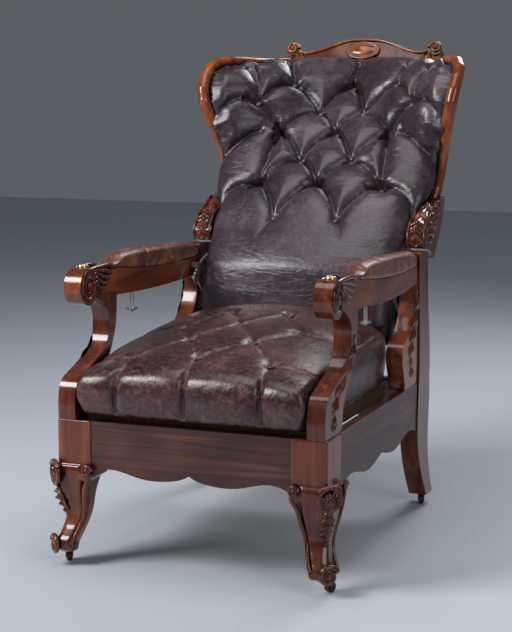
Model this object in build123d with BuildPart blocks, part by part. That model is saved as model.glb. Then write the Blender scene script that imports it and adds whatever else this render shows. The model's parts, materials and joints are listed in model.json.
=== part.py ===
from build123d import *
import os
from math import cos, hypot, radians, sin, sqrt

os.makedirs("parts", exist_ok=True)

# Reclining armchair, at rest with its back let down.
# X runs across the chair, Y from front to back and Z up from the floor.
# Lengths are in millimetres. Values whose names end in share or shares are
# parts of the sizes that they follow.

# Overall sizes of the base
BLOCK_SPAN = 630.0
BLOCK_WIDTH = 81.5
BLOCK_DEPTH = 93.0
BLOCK_BOTTOM = 231.0
RAIL_TOP = 333.0
BLOCK_FRONT = -620.4
FOOT_BOTTOM = 28.0
STILE_SETBACK = 697.0
STILE_DEPTH = 95.0
STILE_WIDTH = 45.0

# Small gaps and overruns
SOFT_GAP = 0.4
RUNNING_GAP = 0.05
OVERRUN = 5.0

HALF_SPAN = BLOCK_SPAN / 2
BLOCK_INNER = HALF_SPAN - BLOCK_WIDTH
STILE_INNER = HALF_SPAN - STILE_WIDTH


def spots(shares, origin, size):
    """Turn points in shares of a size into points in millimetres."""
    return [(origin[0] + across * size[0], origin[1] + up * size[1]) for across, up in shares]


def side_plane(x):
    """A plane across the chair at x: its axes are depth from the blocks' front, and height."""
    return Plane(origin=(x, BLOCK_FRONT, 0), x_dir=(0, 1, 0), z_dir=(1, 0, 0))


def level_plane(height):
    """A level plane: its axes are x, and depth from the blocks' front."""
    return Plane(origin=(0, BLOCK_FRONT, height), x_dir=(1, 0, 0), z_dir=(0, 0, 1))


def facing_plane(depth):
    """An upright plane that faces the front: its axes are x and height."""
    return Plane(origin=(0, BLOCK_FRONT + depth, 0), x_dir=(1, 0, 0), z_dir=(0, -1, 0))


def outline(plane, *runs):
    """Fill a closed outline: a run of two points is a line, and a longer one a smooth curve."""
    with BuildSketch(plane) as shape:
        with BuildLine():
            for run in runs:
                if len(run) > 2:
                    Spline(*run)
                else:
                    Line(*run)
        make_face()
    return shape.sketch


def refined(rows, steps):
    """Add rows between the rows of a table, so that each column follows a smooth curve."""
    fine = []
    for index in range(len(rows) - 1):
        before, first = rows[max(index - 1, 0)], rows[index]
        second, after = rows[index + 1], rows[min(index + 2, len(rows) - 1)]
        for step in range(steps):
            t = step / steps
            fine.append(tuple(
                b + ((c - a) * t + (2 * a - 5 * b + 4 * c - d) * t ** 2
                     + (3 * b - a - 3 * c + d) * t ** 3) / 2
                for a, b, c, d in zip(before, first, second, after)
            ))
    return fine + [tuple(rows[-1])]


def facets(plane, points):
    """Fill a closed outline of short straight runs."""
    with BuildSketch(plane) as shape:
        with BuildLine():
            Polyline(*points, close=True)
        make_face()
    return shape.sketch


def block(plane, low, high, height):
    """A box that stands on a plane, between two corners given on that plane."""
    with BuildPart() as piece:
        with BuildSketch(plane):
            with Locations(((low[0] + high[0]) / 2, (low[1] + high[1]) / 2)):
                Rectangle(high[0] - low[0], high[1] - low[1])
        extrude(amount=height)
    return piece


def save(piece, name):
    """Name a finished piece and write it."""
    piece.part.label = name
    export_step(piece.part, f"parts/{name}.step")


def save_pair(right, name):
    """Write a right-hand piece, and its mirror image on the left."""
    with BuildPart() as left:
        mirror(right.part, about=Plane.YZ)
    save(right, f"{name}_right")
    save(left, f"{name}_left")


# Front apron, with a shaped lower edge, and the strip above its joint line
APRON_TOP = 312.0
APRON_DROP = 102.0
APRON_THICKNESS = 24.0
APRON_SETBACK = 3.0
STRIP_THICKNESS = 27.0
APRON_EDGE_SHARES = [
    (0, 0.804), (0.086, 0.902), (0.214, 0.961), (0.36, 0.985), (0.531, 0.941),
    (0.707, 0.843), (0.814, 0.824), (0.916, 0.873), (1, 0.961),
]

apron_edge = spots(APRON_EDGE_SHARES, (0, APRON_TOP), (BLOCK_INNER, -APRON_DROP))
with BuildPart() as front_apron:
    with BuildSketch(facing_plane(APRON_SETBACK)):
        with BuildLine():
            Spline(*apron_edge)
            Line(apron_edge[-1], (BLOCK_INNER, APRON_TOP))
            Line((BLOCK_INNER, APRON_TOP), (0, APRON_TOP))
            mirror(about=Plane.YZ)
        make_face()
    extrude(amount=-APRON_THICKNESS)
save(front_apron, "front_apron")

front_seat_rail = block(
    level_plane(APRON_TOP),
    (-BLOCK_INNER, APRON_SETBACK),
    (BLOCK_INNER, APRON_SETBACK + STRIP_THICKNESS),
    RAIL_TOP - APRON_TOP,
)
save(front_seat_rail, "front_seat_rail")

# Front legs: a square block on a cabriole leg that swells, turns in and ends in a scroll toe.
# A row holds the height share, the inner and outer x shares, and the front and rear shares.
LEG_SECTION_SHARES = [
    (1, 0.08, 1.11, -0.06, 0.965),
    (0.9, 0.08, 1.135, -0.08, 0.965),
    (0.675, 0.2, 1.09, 0, 0.775),
    (0.43, 0.31, 0.95, 0.17, 0.71),
    (0.23, 0.45, 1.01, -0.02, 0.56),
    (0.11, 0.57, 1.15, -0.14, 0.47),
    (0, 0.655, 1.04, 0.055, 0.485),
]
LEG_STEPS = 4
LEG_CORNER_SHARE = 0.2
TOE_SCROLL_RADIUS = 13.0
TOE_SCROLL_HEIGHT = 47.0
CAP_SCROLL_RADIUS = 12.0
CAP_SCROLL_DROP = 22.0
BLOCK_CHAMFER = 1.5

leg_drop = BLOCK_BOTTOM - FOOT_BOTTOM
foot_row = LEG_SECTION_SHARES[-1]
toe_row = LEG_SECTION_SHARES[-2]
front_foot_x = BLOCK_INNER + (foot_row[1] + foot_row[2]) / 2 * BLOCK_WIDTH
front_foot_depth = (foot_row[3] + foot_row[4]) / 2 * BLOCK_DEPTH

# Casters: a plate let into the foot, a stem that turns in it, a fork and a wheel
STEM_RADIUS = 4.0
STEM_LENGTH = 26.0
PLATE_RADIUS = 13.0
PLATE_THICKNESS = 2.0
WHEEL_RADIUS = 12.0
WHEEL_WIDTH = 11.0
AXLE_RADIUS = 2.5
CASTER_TRAIL = 15.0
CROWN_THICKNESS = 2.4
CROWN_GAP = 0.3
CHEEK_THICKNESS = 2.2
CHEEK_GAP = 0.5
CHEEK_HALF_WIDTH = 5.5

crown_top = FOOT_BOTTOM - CROWN_GAP
crown_bottom = crown_top - CROWN_THICKNESS


with BuildPart() as front_leg:
    with BuildSketch(level_plane(BLOCK_BOTTOM)):
        with Locations((BLOCK_INNER + BLOCK_WIDTH / 2, BLOCK_DEPTH / 2)):
            Rectangle(BLOCK_WIDTH, BLOCK_DEPTH)
    extrude(amount=RAIL_TOP - BLOCK_BOTTOM)
    chamfer(front_leg.edges().filter_by(Axis.Z), BLOCK_CHAMFER)
    for height_share, inner, outer, front, rear in refined(LEG_SECTION_SHARES, LEG_STEPS):
        section_width = (outer - inner) * BLOCK_WIDTH
        section_depth = (rear - front) * BLOCK_DEPTH
        with BuildSketch(level_plane(FOOT_BOTTOM + height_share * leg_drop)) as section:
            with Locations((
                BLOCK_INNER + (inner + outer) / 2 * BLOCK_WIDTH,
                (front + rear) / 2 * BLOCK_DEPTH,
            )):
                Rectangle(section_width, section_depth)
            chamfer(section.vertices(), LEG_CORNER_SHARE * section_depth)
    loft(ruled=True)
    with BuildSketch(side_plane(BLOCK_INNER + toe_row[1] * BLOCK_WIDTH)):
        with Locations((toe_row[3] * BLOCK_DEPTH + TOE_SCROLL_RADIUS, TOE_SCROLL_HEIGHT)):
            Circle(TOE_SCROLL_RADIUS)
    extrude(amount=(toe_row[2] - toe_row[1]) * BLOCK_WIDTH)
    with BuildSketch(facing_plane(LEG_SECTION_SHARES[1][3] * BLOCK_DEPTH)):
        with Locations((
            BLOCK_INNER + LEG_SECTION_SHARES[1][1] * BLOCK_WIDTH + CAP_SCROLL_RADIUS / 2,
            BLOCK_BOTTOM - CAP_SCROLL_DROP,
        )):
            Circle(CAP_SCROLL_RADIUS)
    extrude(amount=-BLOCK_DEPTH)
    with BuildSketch(level_plane(FOOT_BOTTOM)):
        with Locations((front_foot_x, front_foot_depth)):
            Circle(PLATE_RADIUS)
    extrude(amount=PLATE_THICKNESS, mode=Mode.SUBTRACT)
    with BuildSketch(level_plane(FOOT_BOTTOM)):
        with Locations((front_foot_x, front_foot_depth)):
            Circle(STEM_RADIUS + RUNNING_GAP)
    extrude(amount=STEM_LENGTH + RUNNING_GAP, mode=Mode.SUBTRACT)
save_pair(front_leg, "front_leg")

# Hinge on which the back turns
HINGE_DEPTH = 728.0
HINGE_HEIGHT = 485.0
PIN_RADIUS = 6.0
PIN_INTO_STILE = 28.0

# Rear legs: stile and sabre leg in one, rounded about the hinge at the top
STILE_TOP_RADIUS = 172.0
LEG_FRONT_SHARES = [
    (0.874, 0), (0.505, 0.154), (0.158, 0.334), (-0.032, 0.498), (-0.074, 0.662), (0, 1),
]
LEG_BACK_SHARES = [
    (1, 1), (1.032, 0.836), (0.937, 0.551), (1.011, 0.302), (1.242, 0.115), (1.484, 0),
]
STILE_FRONT_SHARES = [(0, 0), (0, 0.422), (-0.074, 0.709), (-0.074, 1)]
STILE_BACK_SHARES = [(0.716, 1), (0.716, 0.812), (0.789, 0.616), (0.979, 0.303), (1, 0)]


def about_hinge(depth, radius):
    """The height of a circle about the hinge, over a given depth."""
    return HINGE_HEIGHT + sqrt(radius ** 2 - (depth - HINGE_DEPTH) ** 2)


leg_size = (STILE_DEPTH, RAIL_TOP - FOOT_BOTTOM)
leg_front_edge = spots(LEG_FRONT_SHARES, (STILE_SETBACK, FOOT_BOTTOM), leg_size)
leg_back_edge = spots(LEG_BACK_SHARES, (STILE_SETBACK, FOOT_BOTTOM), leg_size)
stile_top_front = STILE_SETBACK + STILE_FRONT_SHARES[-1][0] * STILE_DEPTH
stile_top_back = STILE_SETBACK + STILE_BACK_SHARES[0][0] * STILE_DEPTH
stile_rise = about_hinge(stile_top_front, STILE_TOP_RADIUS) - RAIL_TOP
stile_back_rise = about_hinge(stile_top_back, STILE_TOP_RADIUS) - RAIL_TOP
stile_front_edge = spots(
    STILE_FRONT_SHARES, (STILE_SETBACK, RAIL_TOP), (STILE_DEPTH, stile_rise)
)
stile_back_edge = spots(
    STILE_BACK_SHARES, (STILE_SETBACK, RAIL_TOP), (STILE_DEPTH, stile_back_rise)
)
leg_foot_front = (leg_front_edge[0][0], FOOT_BOTTOM)
leg_foot_back = (leg_back_edge[-1][0], FOOT_BOTTOM)
rear_foot_depth = (leg_foot_front[0] + leg_foot_back[0]) / 2
rear_foot_x = HALF_SPAN - STILE_WIDTH / 2

with BuildPart() as rear_leg:
    with BuildSketch(side_plane(STILE_INNER)):
        with BuildLine():
            Spline(*leg_front_edge)
            Spline(*stile_front_edge)
            ThreePointArc(
                stile_front_edge[-1],
                (HINGE_DEPTH, HINGE_HEIGHT + STILE_TOP_RADIUS),
                stile_back_edge[0],
            )
            Spline(*stile_back_edge)
            Spline(*leg_back_edge)
            Line(leg_back_edge[-1], leg_front_edge[0])
        make_face()
    extrude(amount=STILE_WIDTH)
    with BuildSketch(level_plane(FOOT_BOTTOM)):
        with Locations((rear_foot_x, rear_foot_depth)):
            Circle(PLATE_RADIUS)
    extrude(amount=PLATE_THICKNESS, mode=Mode.SUBTRACT)
    with BuildSketch(level_plane(FOOT_BOTTOM)):
        with Locations((rear_foot_x, rear_foot_depth)):
            Circle(STEM_RADIUS + RUNNING_GAP)
    extrude(amount=STEM_LENGTH + RUNNING_GAP, mode=Mode.SUBTRACT)
    with BuildSketch(side_plane(STILE_INNER)):
        with Locations((HINGE_DEPTH, HINGE_HEIGHT)):
            Circle(PIN_RADIUS + RUNNING_GAP)
    extrude(amount=PIN_INTO_STILE + RUNNING_GAP, mode=Mode.SUBTRACT)
save_pair(rear_leg, "rear_leg")

# Side rails, with a cusp at the middle of the lower edge
SIDE_RAIL_DROP = 127.0
SIDE_RAIL_OUTER = 312.0
SIDE_RAIL_THICKNESS = 21.0
SIDE_RAIL_EDGE_SHARES = [
    (0, 0.866), (0.2, 0.969), (0.33, 1), (0.5, 0.945), (0.72, 0.843), (0.86, 0.874),
    (1, 0.992),
]

side_rail_inner = SIDE_RAIL_OUTER - SIDE_RAIL_THICKNESS
side_rail_middle = (BLOCK_DEPTH + STILE_SETBACK) / 2
side_rail_half = (STILE_SETBACK - BLOCK_DEPTH) / 2
rear_half_edge = spots(
    SIDE_RAIL_EDGE_SHARES, (side_rail_middle, RAIL_TOP), (side_rail_half, -SIDE_RAIL_DROP)
)
front_half_edge = spots(
    SIDE_RAIL_EDGE_SHARES, (side_rail_middle, RAIL_TOP), (-side_rail_half, -SIDE_RAIL_DROP)
)
with BuildPart() as side_rail:
    extrude(
        outline(
            side_plane(side_rail_inner),
            rear_half_edge,
            [rear_half_edge[-1], (STILE_SETBACK, RAIL_TOP)],
            [(STILE_SETBACK, RAIL_TOP), (BLOCK_DEPTH, RAIL_TOP)],
            [(BLOCK_DEPTH, RAIL_TOP), front_half_edge[-1]],
            front_half_edge,
        ),
        amount=SIDE_RAIL_THICKNESS,
    )
    add(rear_leg.part, mode=Mode.SUBTRACT)
save_pair(side_rail, "side_rail")

# Rear rail between the rear legs
REAR_RAIL_SETBACK = 38.0
REAR_RAIL_THICKNESS = 22.0
REAR_RAIL_DROP = 110.0
REAR_RAIL_EDGE_SHARES = [(0, 0.8), (0.12, 0.9), (0.4, 0.95), (0.75, 0.86), (1, 1)]

rear_rail_depth = STILE_SETBACK + REAR_RAIL_SETBACK
rear_edge = spots(REAR_RAIL_EDGE_SHARES, (0, RAIL_TOP), (STILE_INNER, -REAR_RAIL_DROP))
with BuildPart() as rear_rail:
    with BuildSketch(facing_plane(rear_rail_depth)):
        with BuildLine():
            Spline(*rear_edge)
            Line(rear_edge[-1], (STILE_INNER, RAIL_TOP))
            Line((STILE_INNER, RAIL_TOP), (0, RAIL_TOP))
            mirror(about=Plane.YZ)
        make_face()
    extrude(amount=-REAR_RAIL_THICKNESS)
save(rear_rail, "rear_rail")

# Arms: a bowed bar that ends in a scroll at the front
ARM_WIDTH = 41.0
ARM_OUTER = 311.0
ARM_UNDERSIDE = 584.0
ARM_LENGTH = 690.0
ARM_BOW = 8.0
SCROLL_RADIUS = 42.0
SCROLL_DEPTH = 75.0
SCROLL_HEIGHT = 620.0
SCROLL_EYE_RADIUS = 11.0
SCROLL_EYE_RISE = 2.5
ARM_TOP_SHARES = [
    (0.109, 1), (0.174, 0.923), (0.29, 0.821), (0.435, 0.679), (0.623, 0.551),
    (0.87, 0.513), (1, 0.564),
]
ARM_UNDER_SHARES = [
    (1, 0), (0.812, -0.1), (0.623, -0.115), (0.435, -0.06), (0.307, -0.01), (0.187, 0.02),
    (0.152, 0.09),
]
ARM_BOW_SHARES = [(0.048, 0), (0.29, 0.5), (0.551, 1), (0.812, 0.5), (1, 0)]

ARM_INNER = ARM_OUTER - ARM_WIDTH
arm_rise = SCROLL_HEIGHT + SCROLL_RADIUS - ARM_UNDERSIDE
arm_size = (ARM_LENGTH, arm_rise)


def arm_side(plane, lift=0.0):
    """The arm's outline from the side, behind its scroll."""
    origin = (0, ARM_UNDERSIDE + lift)
    top = spots(ARM_TOP_SHARES, origin, arm_size)
    under = spots(ARM_UNDER_SHARES, origin, arm_size)
    centre = (SCROLL_DEPTH, SCROLL_HEIGHT + lift)
    return outline(plane, top, [top[-1], under[0]], under, [under[-1], centre], [centre, top[0]])


def bowed(x):
    """One long side of the arm seen from above."""
    return [(x + share * ARM_BOW, along * ARM_LENGTH) for along, share in ARM_BOW_SHARES]


def arm_plan(height, spare=0.0):
    """The arm's outline from above, with some spare width on each side."""
    inner = bowed(ARM_INNER - spare)
    outer = bowed(ARM_OUTER + spare)
    return outline(
        level_plane(height), inner, [inner[-1], outer[-1]], outer[::-1], [outer[0], inner[0]]
    )


# Brass sockets in the arms' scrolls, for the stem of a reading stand
SOCKET_DEPTH = 85.0
SOCKET_BORE_RADIUS = 6.75
SOCKET_TUBE_RADIUS = 8.5
SOCKET_LENGTH = 45.0
SOCKET_FLANGE_RADIUS = 11.75
SOCKET_FLANGE_THICKNESS = 3.5
SOCKET_TOP = 664.0
SOCKET_FLOOR = 3.0

socket_x = ARM_OUTER - ARM_WIDTH / 2
socket_seat = SOCKET_TOP - SOCKET_FLANGE_THICKNESS


def upright_rod(x, depth, bottom, radius, height, mode=Mode.ADD):
    """Add or cut an upright round bar."""
    with BuildSketch(level_plane(bottom)) as spot:
        with Locations((x, depth)):
            Circle(radius)
    extrude(spot.sketch, amount=height, mode=mode)


with BuildPart() as arm:
    extrude(arm_side(side_plane(ARM_INNER - ARM_BOW)), amount=ARM_WIDTH + ARM_BOW * 3)
    extrude(arm_plan(0), amount=RAIL_TOP + ARM_LENGTH, mode=Mode.INTERSECT)
    with BuildSketch(side_plane(ARM_INNER)):
        with Locations((SCROLL_DEPTH, SCROLL_HEIGHT)):
            Circle(SCROLL_RADIUS)
    extrude(amount=ARM_WIDTH)
    with BuildSketch(side_plane(ARM_INNER - SCROLL_EYE_RISE)):
        with Locations((SCROLL_DEPTH, SCROLL_HEIGHT)):
            Circle(SCROLL_EYE_RADIUS)
    extrude(amount=ARM_WIDTH + SCROLL_EYE_RISE * 2)
    upright_rod(
        socket_x, SOCKET_DEPTH, socket_seat, SOCKET_FLANGE_RADIUS, OVERRUN, Mode.SUBTRACT
    )
    upright_rod(
        socket_x, SOCKET_DEPTH, SOCKET_TOP - SOCKET_LENGTH, SOCKET_TUBE_RADIUS,
        SOCKET_LENGTH, Mode.SUBTRACT,
    )
    add(rear_leg.part, mode=Mode.SUBTRACT)

with BuildPart() as socket:
    upright_rod(
        socket_x, SOCKET_DEPTH, SOCKET_TOP - SOCKET_LENGTH, SOCKET_TUBE_RADIUS, SOCKET_LENGTH
    )
    upright_rod(
        socket_x, SOCKET_DEPTH, socket_seat, SOCKET_FLANGE_RADIUS, SOCKET_FLANGE_THICKNESS
    )
    upright_rod(
        socket_x, SOCKET_DEPTH, SOCKET_TOP - SOCKET_LENGTH + SOCKET_FLOOR,
        SOCKET_BORE_RADIUS, SOCKET_LENGTH, Mode.SUBTRACT,
    )
save_pair(socket, "reading_socket")

# Arm supports: a double curve that rises from the block to the arm
SUPPORT_REACH = 212.0
SUPPORT_FRONT_SHARES = [
    (0, 0), (0.009, 0.247), (0.066, 0.339), (0.189, 0.386), (0.495, 0.478),
    (0.665, 0.546), (0.755, 0.625), (0.792, 0.721), (0.788, 0.845), (0.741, 0.924),
    (0.608, 0.996), (0.458, 1.068),
]
SUPPORT_BACK_SHARES = [
    (1, 1.02), (0.991, 0.904), (0.967, 0.745), (0.906, 0.618), (0.825, 0.506),
    (0.708, 0.394), (0.59, 0.267), (0.528, 0.143), (0.51, 0.04), (0.439, 0),
]

support_rise = ARM_UNDERSIDE - RAIL_TOP
support_size = (SUPPORT_REACH, support_rise)
support_front = spots(SUPPORT_FRONT_SHARES, (0, RAIL_TOP), support_size)
support_back = spots(SUPPORT_BACK_SHARES, (0, RAIL_TOP), support_size)
with BuildPart() as arm_support:
    extrude(
        outline(
            side_plane(ARM_INNER),
            support_front,
            [support_front[-1], support_back[0]],
            support_back,
            [support_back[-1], support_front[0]],
        ),
        amount=ARM_WIDTH,
    )
    add(arm.part, mode=Mode.SUBTRACT)
save_pair(arm_support, "arm_support")

# Rear arm brackets, between the side rail and the arm, in front of the stile
BRACKET_REACH = 114.0
BRACKET_SHARES = [
    (-1, 0), (-1.05, 0.13), (-1.193, 0.34), (-1.12, 0.43), (-0.798, 0.502), (-0.5, 0.6),
    (-0.3, 0.72), (-0.2, 0.85), (-0.22, 1.05),
]
bracket_front = spots(BRACKET_SHARES, (STILE_SETBACK, RAIL_TOP), (BRACKET_REACH, support_rise))
bracket_back = STILE_SETBACK + OVERRUN
with BuildPart() as arm_bracket:
    extrude(
        outline(
            side_plane(ARM_INNER),
            bracket_front,
            [bracket_front[-1], (bracket_back, bracket_front[-1][1])],
            [(bracket_back, bracket_front[-1][1]), (bracket_back, RAIL_TOP)],
            [(bracket_back, RAIL_TOP), bracket_front[0]],
        ),
        amount=ARM_WIDTH,
    )
    add(arm.part, mode=Mode.SUBTRACT)
    add(rear_leg.part, mode=Mode.SUBTRACT)
save_pair(arm_bracket, "arm_bracket")

# Arm pads: leather rolls that sit on the arms. A row holds the depth share, the height of
# the crown above the arm's underside, and how far the sides stand in.
PAD_LENGTH = 488.0
PAD_START = 200.0
PAD_SPARE = 2.0
PAD_CROWN = 91.0
PAD_ROUND_SHARE = 0.36
PAD_STEPS = 2
PAD_CROWN_ANGLES = range(0, 181, 20)
PAD_SECTION_SHARES = [
    (0, 0.78, 0.12), (0.03, 0.9, 0.02), (0.1, 0.955, 0), (0.27, 1, 0), (0.58, 0.967, 0),
    (0.83, 0.89, 0), (0.96, 0.8, 0.03), (1, 0.71, 0.12),
]


def pad_bow(share):
    """How far the arm bows outward at a share of the pad's length."""
    along = (PAD_START + share * PAD_LENGTH) / ARM_LENGTH
    return ARM_BOW * sin(radians(180 * along))


def pad_section(along, middle, half, foot, side, top):
    """One upright section of a pad: a flat foot, straight sides and a crowned top."""
    crown = [
        (middle + half * cos(radians(turn)), side + (top - side) * sin(radians(turn)))
        for turn in PAD_CROWN_ANGLES
    ]
    outer = [(middle + half, foot), *crown, (middle - half, foot)]
    return facets(facing_plane(PAD_START + along * PAD_LENGTH), outer)


with BuildPart() as arm_pad:
    for along, crown, tuck in refined(PAD_SECTION_SHARES, PAD_STEPS):
        pad_half = ARM_WIDTH / 2 + PAD_SPARE - tuck * ARM_WIDTH
        pad_middle = ARM_OUTER - ARM_WIDTH / 2 + pad_bow(along)
        pad_top = ARM_UNDERSIDE + crown * PAD_CROWN
        pad_side = pad_top - PAD_ROUND_SHARE * ARM_WIDTH
        pad_foot = ARM_UNDERSIDE + arm_rise / 3
        add(pad_section(along, pad_middle, pad_half, pad_foot, pad_side, pad_top))
    loft(ruled=True)
    extrude(
        arm_side(side_plane(ARM_INNER - ARM_WIDTH), SOFT_GAP),
        amount=ARM_WIDTH * 3,
        mode=Mode.SUBTRACT,
    )
save_pair(arm_pad, "arm_pad")

# Casters: each fork turns on its stem, and each wheel on the fork's axle
CASTER_SPOTS = {
    "front_right": (front_foot_x, front_foot_depth, 30.0),
    "front_left": (-front_foot_x, front_foot_depth, -35.0),
    "rear_right": (rear_foot_x, rear_foot_depth, 160.0),
    "rear_left": (-rear_foot_x, rear_foot_depth, -170.0),
}

for corner, (stem_x, stem_depth, turn) in CASTER_SPOTS.items():
    ahead = Plane(
        origin=(stem_x, BLOCK_FRONT + stem_depth, 0),
        x_dir=(sin(radians(turn)), cos(radians(turn)), 0),
        z_dir=(0, 0, 1),
    )
    across = Plane(origin=ahead.origin, x_dir=ahead.x_dir, z_dir=-ahead.y_dir)
    cheek_outer = WHEEL_WIDTH / 2 + CHEEK_GAP + CHEEK_THICKNESS
    with BuildPart() as fork:
        with BuildSketch(ahead.offset(crown_bottom)):
            Circle(cheek_outer)
            with Locations((CASTER_TRAIL / 2, 0)):
                Rectangle(CASTER_TRAIL + CHEEK_HALF_WIDTH * 2, cheek_outer * 2)
        extrude(amount=CROWN_THICKNESS)
        with BuildSketch(ahead.offset(crown_top)):
            Circle(STEM_RADIUS)
        extrude(amount=STEM_LENGTH + CROWN_GAP)
        with BuildSketch(across.offset(-cheek_outer)):
            with BuildLine():
                Line(
                    (CASTER_TRAIL - CHEEK_HALF_WIDTH, WHEEL_RADIUS),
                    (CASTER_TRAIL - CHEEK_HALF_WIDTH, crown_bottom),
                )
                Line(
                    (CASTER_TRAIL - CHEEK_HALF_WIDTH, crown_bottom),
                    (CASTER_TRAIL + CHEEK_HALF_WIDTH, crown_bottom),
                )
                Line(
                    (CASTER_TRAIL + CHEEK_HALF_WIDTH, crown_bottom),
                    (CASTER_TRAIL + CHEEK_HALF_WIDTH, WHEEL_RADIUS),
                )
                ThreePointArc(
                    (CASTER_TRAIL + CHEEK_HALF_WIDTH, WHEEL_RADIUS),
                    (CASTER_TRAIL, WHEEL_RADIUS - CHEEK_HALF_WIDTH),
                    (CASTER_TRAIL - CHEEK_HALF_WIDTH, WHEEL_RADIUS),
                )
            make_face()
        extrude(amount=cheek_outer * 2)
        with BuildSketch(ahead):
            with Locations((CASTER_TRAIL, 0)):
                Rectangle(CASTER_TRAIL * 2, WHEEL_WIDTH + CHEEK_GAP * 2)
        extrude(amount=crown_bottom, mode=Mode.SUBTRACT)
        with BuildSketch(across.offset(-cheek_outer)):
            with Locations((CASTER_TRAIL, WHEEL_RADIUS)):
                Circle(AXLE_RADIUS)
        extrude(amount=cheek_outer * 2)
    save(fork, f"caster_fork_{corner}")
    with BuildPart() as wheel:
        with BuildSketch(across.offset(-WHEEL_WIDTH / 2)):
            with Locations((CASTER_TRAIL, WHEEL_RADIUS)):
                Circle(WHEEL_RADIUS)
        extrude(amount=WHEEL_WIDTH)
        with BuildSketch(across.offset(-WHEEL_WIDTH / 2)):
            with Locations((CASTER_TRAIL, WHEEL_RADIUS)):
                Circle(AXLE_RADIUS + RUNNING_GAP)
        extrude(amount=WHEEL_WIDTH, mode=Mode.SUBTRACT)
    save(wheel, f"caster_wheel_{corner}")

with BuildPart() as caster_plates:
    for stem_x, stem_depth, turn in CASTER_SPOTS.values():
        upright_rod(stem_x, stem_depth, FOOT_BOTTOM, PLATE_RADIUS, PLATE_THICKNESS)
        upright_rod(
            stem_x, stem_depth, FOOT_BOTTOM, STEM_RADIUS + RUNNING_GAP, PLATE_THICKNESS,
            Mode.SUBTRACT,
        )
save(caster_plates, "caster_plates")

# Seat: two bearers between the side rails, a loose frame, woven straps and a stuffed cushion
BEARER_WIDTH = 38.0
BEARER_THICKNESS = 22.0
BEARER_SETBACKS = (52.0, 540.0)
SEAT_FRAME_FRONT = 32.0
SEAT_FRAME_BACK = 594.0
SEAT_FRAME_HALF = 258.0
SEAT_FRAME_HEIGHT = 30.0
SEAT_FRAME_RAIL = 55.0
SEAT_FRAME_BOTTOM = 313.0
STRAP_WIDTH = 48.0
STRAP_THICKNESS = 1.2
STRAP_SPARE = 18.0
STRAP_COUNT = 5

with BuildPart() as seat_bearers:
    for setback in BEARER_SETBACKS:
        with BuildSketch(level_plane(SEAT_FRAME_BOTTOM - BEARER_THICKNESS)):
            with Locations((0, setback + BEARER_WIDTH / 2)):
                Rectangle(side_rail_inner * 2, BEARER_WIDTH)
        extrude(amount=BEARER_THICKNESS)
    add(front_leg.part, mode=Mode.SUBTRACT)
    mirror(front_leg.part, about=Plane.YZ, mode=Mode.SUBTRACT)
save(seat_bearers, "seat_bearers")

seat_frame_length = SEAT_FRAME_BACK - SEAT_FRAME_FRONT
seat_frame_middle = (SEAT_FRAME_BACK + SEAT_FRAME_FRONT) / 2
with BuildPart() as seat_frame:
    with BuildSketch(level_plane(SEAT_FRAME_BOTTOM)):
        with Locations((0, seat_frame_middle)):
            Rectangle(SEAT_FRAME_HALF * 2, seat_frame_length)
            Rectangle(
                (SEAT_FRAME_HALF - SEAT_FRAME_RAIL) * 2,
                seat_frame_length - SEAT_FRAME_RAIL * 2,
                mode=Mode.SUBTRACT,
            )
    extrude(amount=SEAT_FRAME_HEIGHT)
    add(front_leg.part, mode=Mode.SUBTRACT)
    mirror(front_leg.part, about=Plane.YZ, mode=Mode.SUBTRACT)
save(seat_frame, "seat_frame")

strap_bottom = SEAT_FRAME_BOTTOM + SEAT_FRAME_HEIGHT
strap_top = strap_bottom + STRAP_THICKNESS * 2
strap_span = SEAT_FRAME_HALF * 2 - STRAP_SPARE * 2
strap_length = seat_frame_length - STRAP_SPARE * 2
strap_pitch_across = (strap_span - STRAP_WIDTH) / (STRAP_COUNT - 1)
strap_pitch_along = (strap_length - STRAP_WIDTH) / (STRAP_COUNT - 1)
with BuildPart() as seat_webbing:
    with BuildSketch(level_plane(strap_bottom)):
        with Locations((0, seat_frame_middle)):
            with GridLocations(strap_pitch_across, 0, STRAP_COUNT, 1):
                Rectangle(STRAP_WIDTH, strap_length)
    extrude(amount=STRAP_THICKNESS)
    with BuildSketch(level_plane(strap_bottom + STRAP_THICKNESS)):
        with Locations((0, seat_frame_middle)):
            with GridLocations(0, strap_pitch_along, 1, STRAP_COUNT):
                Rectangle(strap_span, STRAP_WIDTH)
    extrude(amount=STRAP_THICKNESS)
save(seat_webbing, "seat_webbing")

# Seat cushion: sections from front to back. A row holds the depth share, the half-width
# share, the height shares of the side's top and of the crown, and how far the foot stands up.
CUSHION_FRONT = -5.0
CUSHION_BACK = 598.0
CUSHION_HALF = 276.0
CUSHION_HEIGHT = 182.0
CUSHION_TUCK = 9.0
CUSHION_SECTION_SHARES = [
    (0, 0.925, 0.36, 0.42, 0.06),
    (0.012, 0.955, 0.44, 0.51, 0.015),
    (0.045, 0.962, 0.5, 0.6, 0),
    (0.11, 0.963, 0.53, 0.69, 0),
    (0.19, 0.965, 0.56, 0.75, 0),
    (0.32, 0.985, 0.6, 0.83, 0),
    (0.55, 1, 0.66, 0.93, 0),
    (0.8, 1, 0.69, 1, 0),
    (0.9, 0.98, 0.68, 0.995, 0),
    (0.96, 0.965, 0.65, 0.97, 0),
    (1, 0.94, 0.58, 0.9, 0),
]
CUSHION_CROWN_SHARES = [(1, 0), (0.86, 0.36), (0.62, 0.72), (0.32, 0.93), (0, 1)]
CUSHION_BULGE_SHARE = 0.55
CUSHION_GAP = 0.9

cushion_bottom = strap_top + CUSHION_GAP
cushion_length = CUSHION_BACK - CUSHION_FRONT


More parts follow.
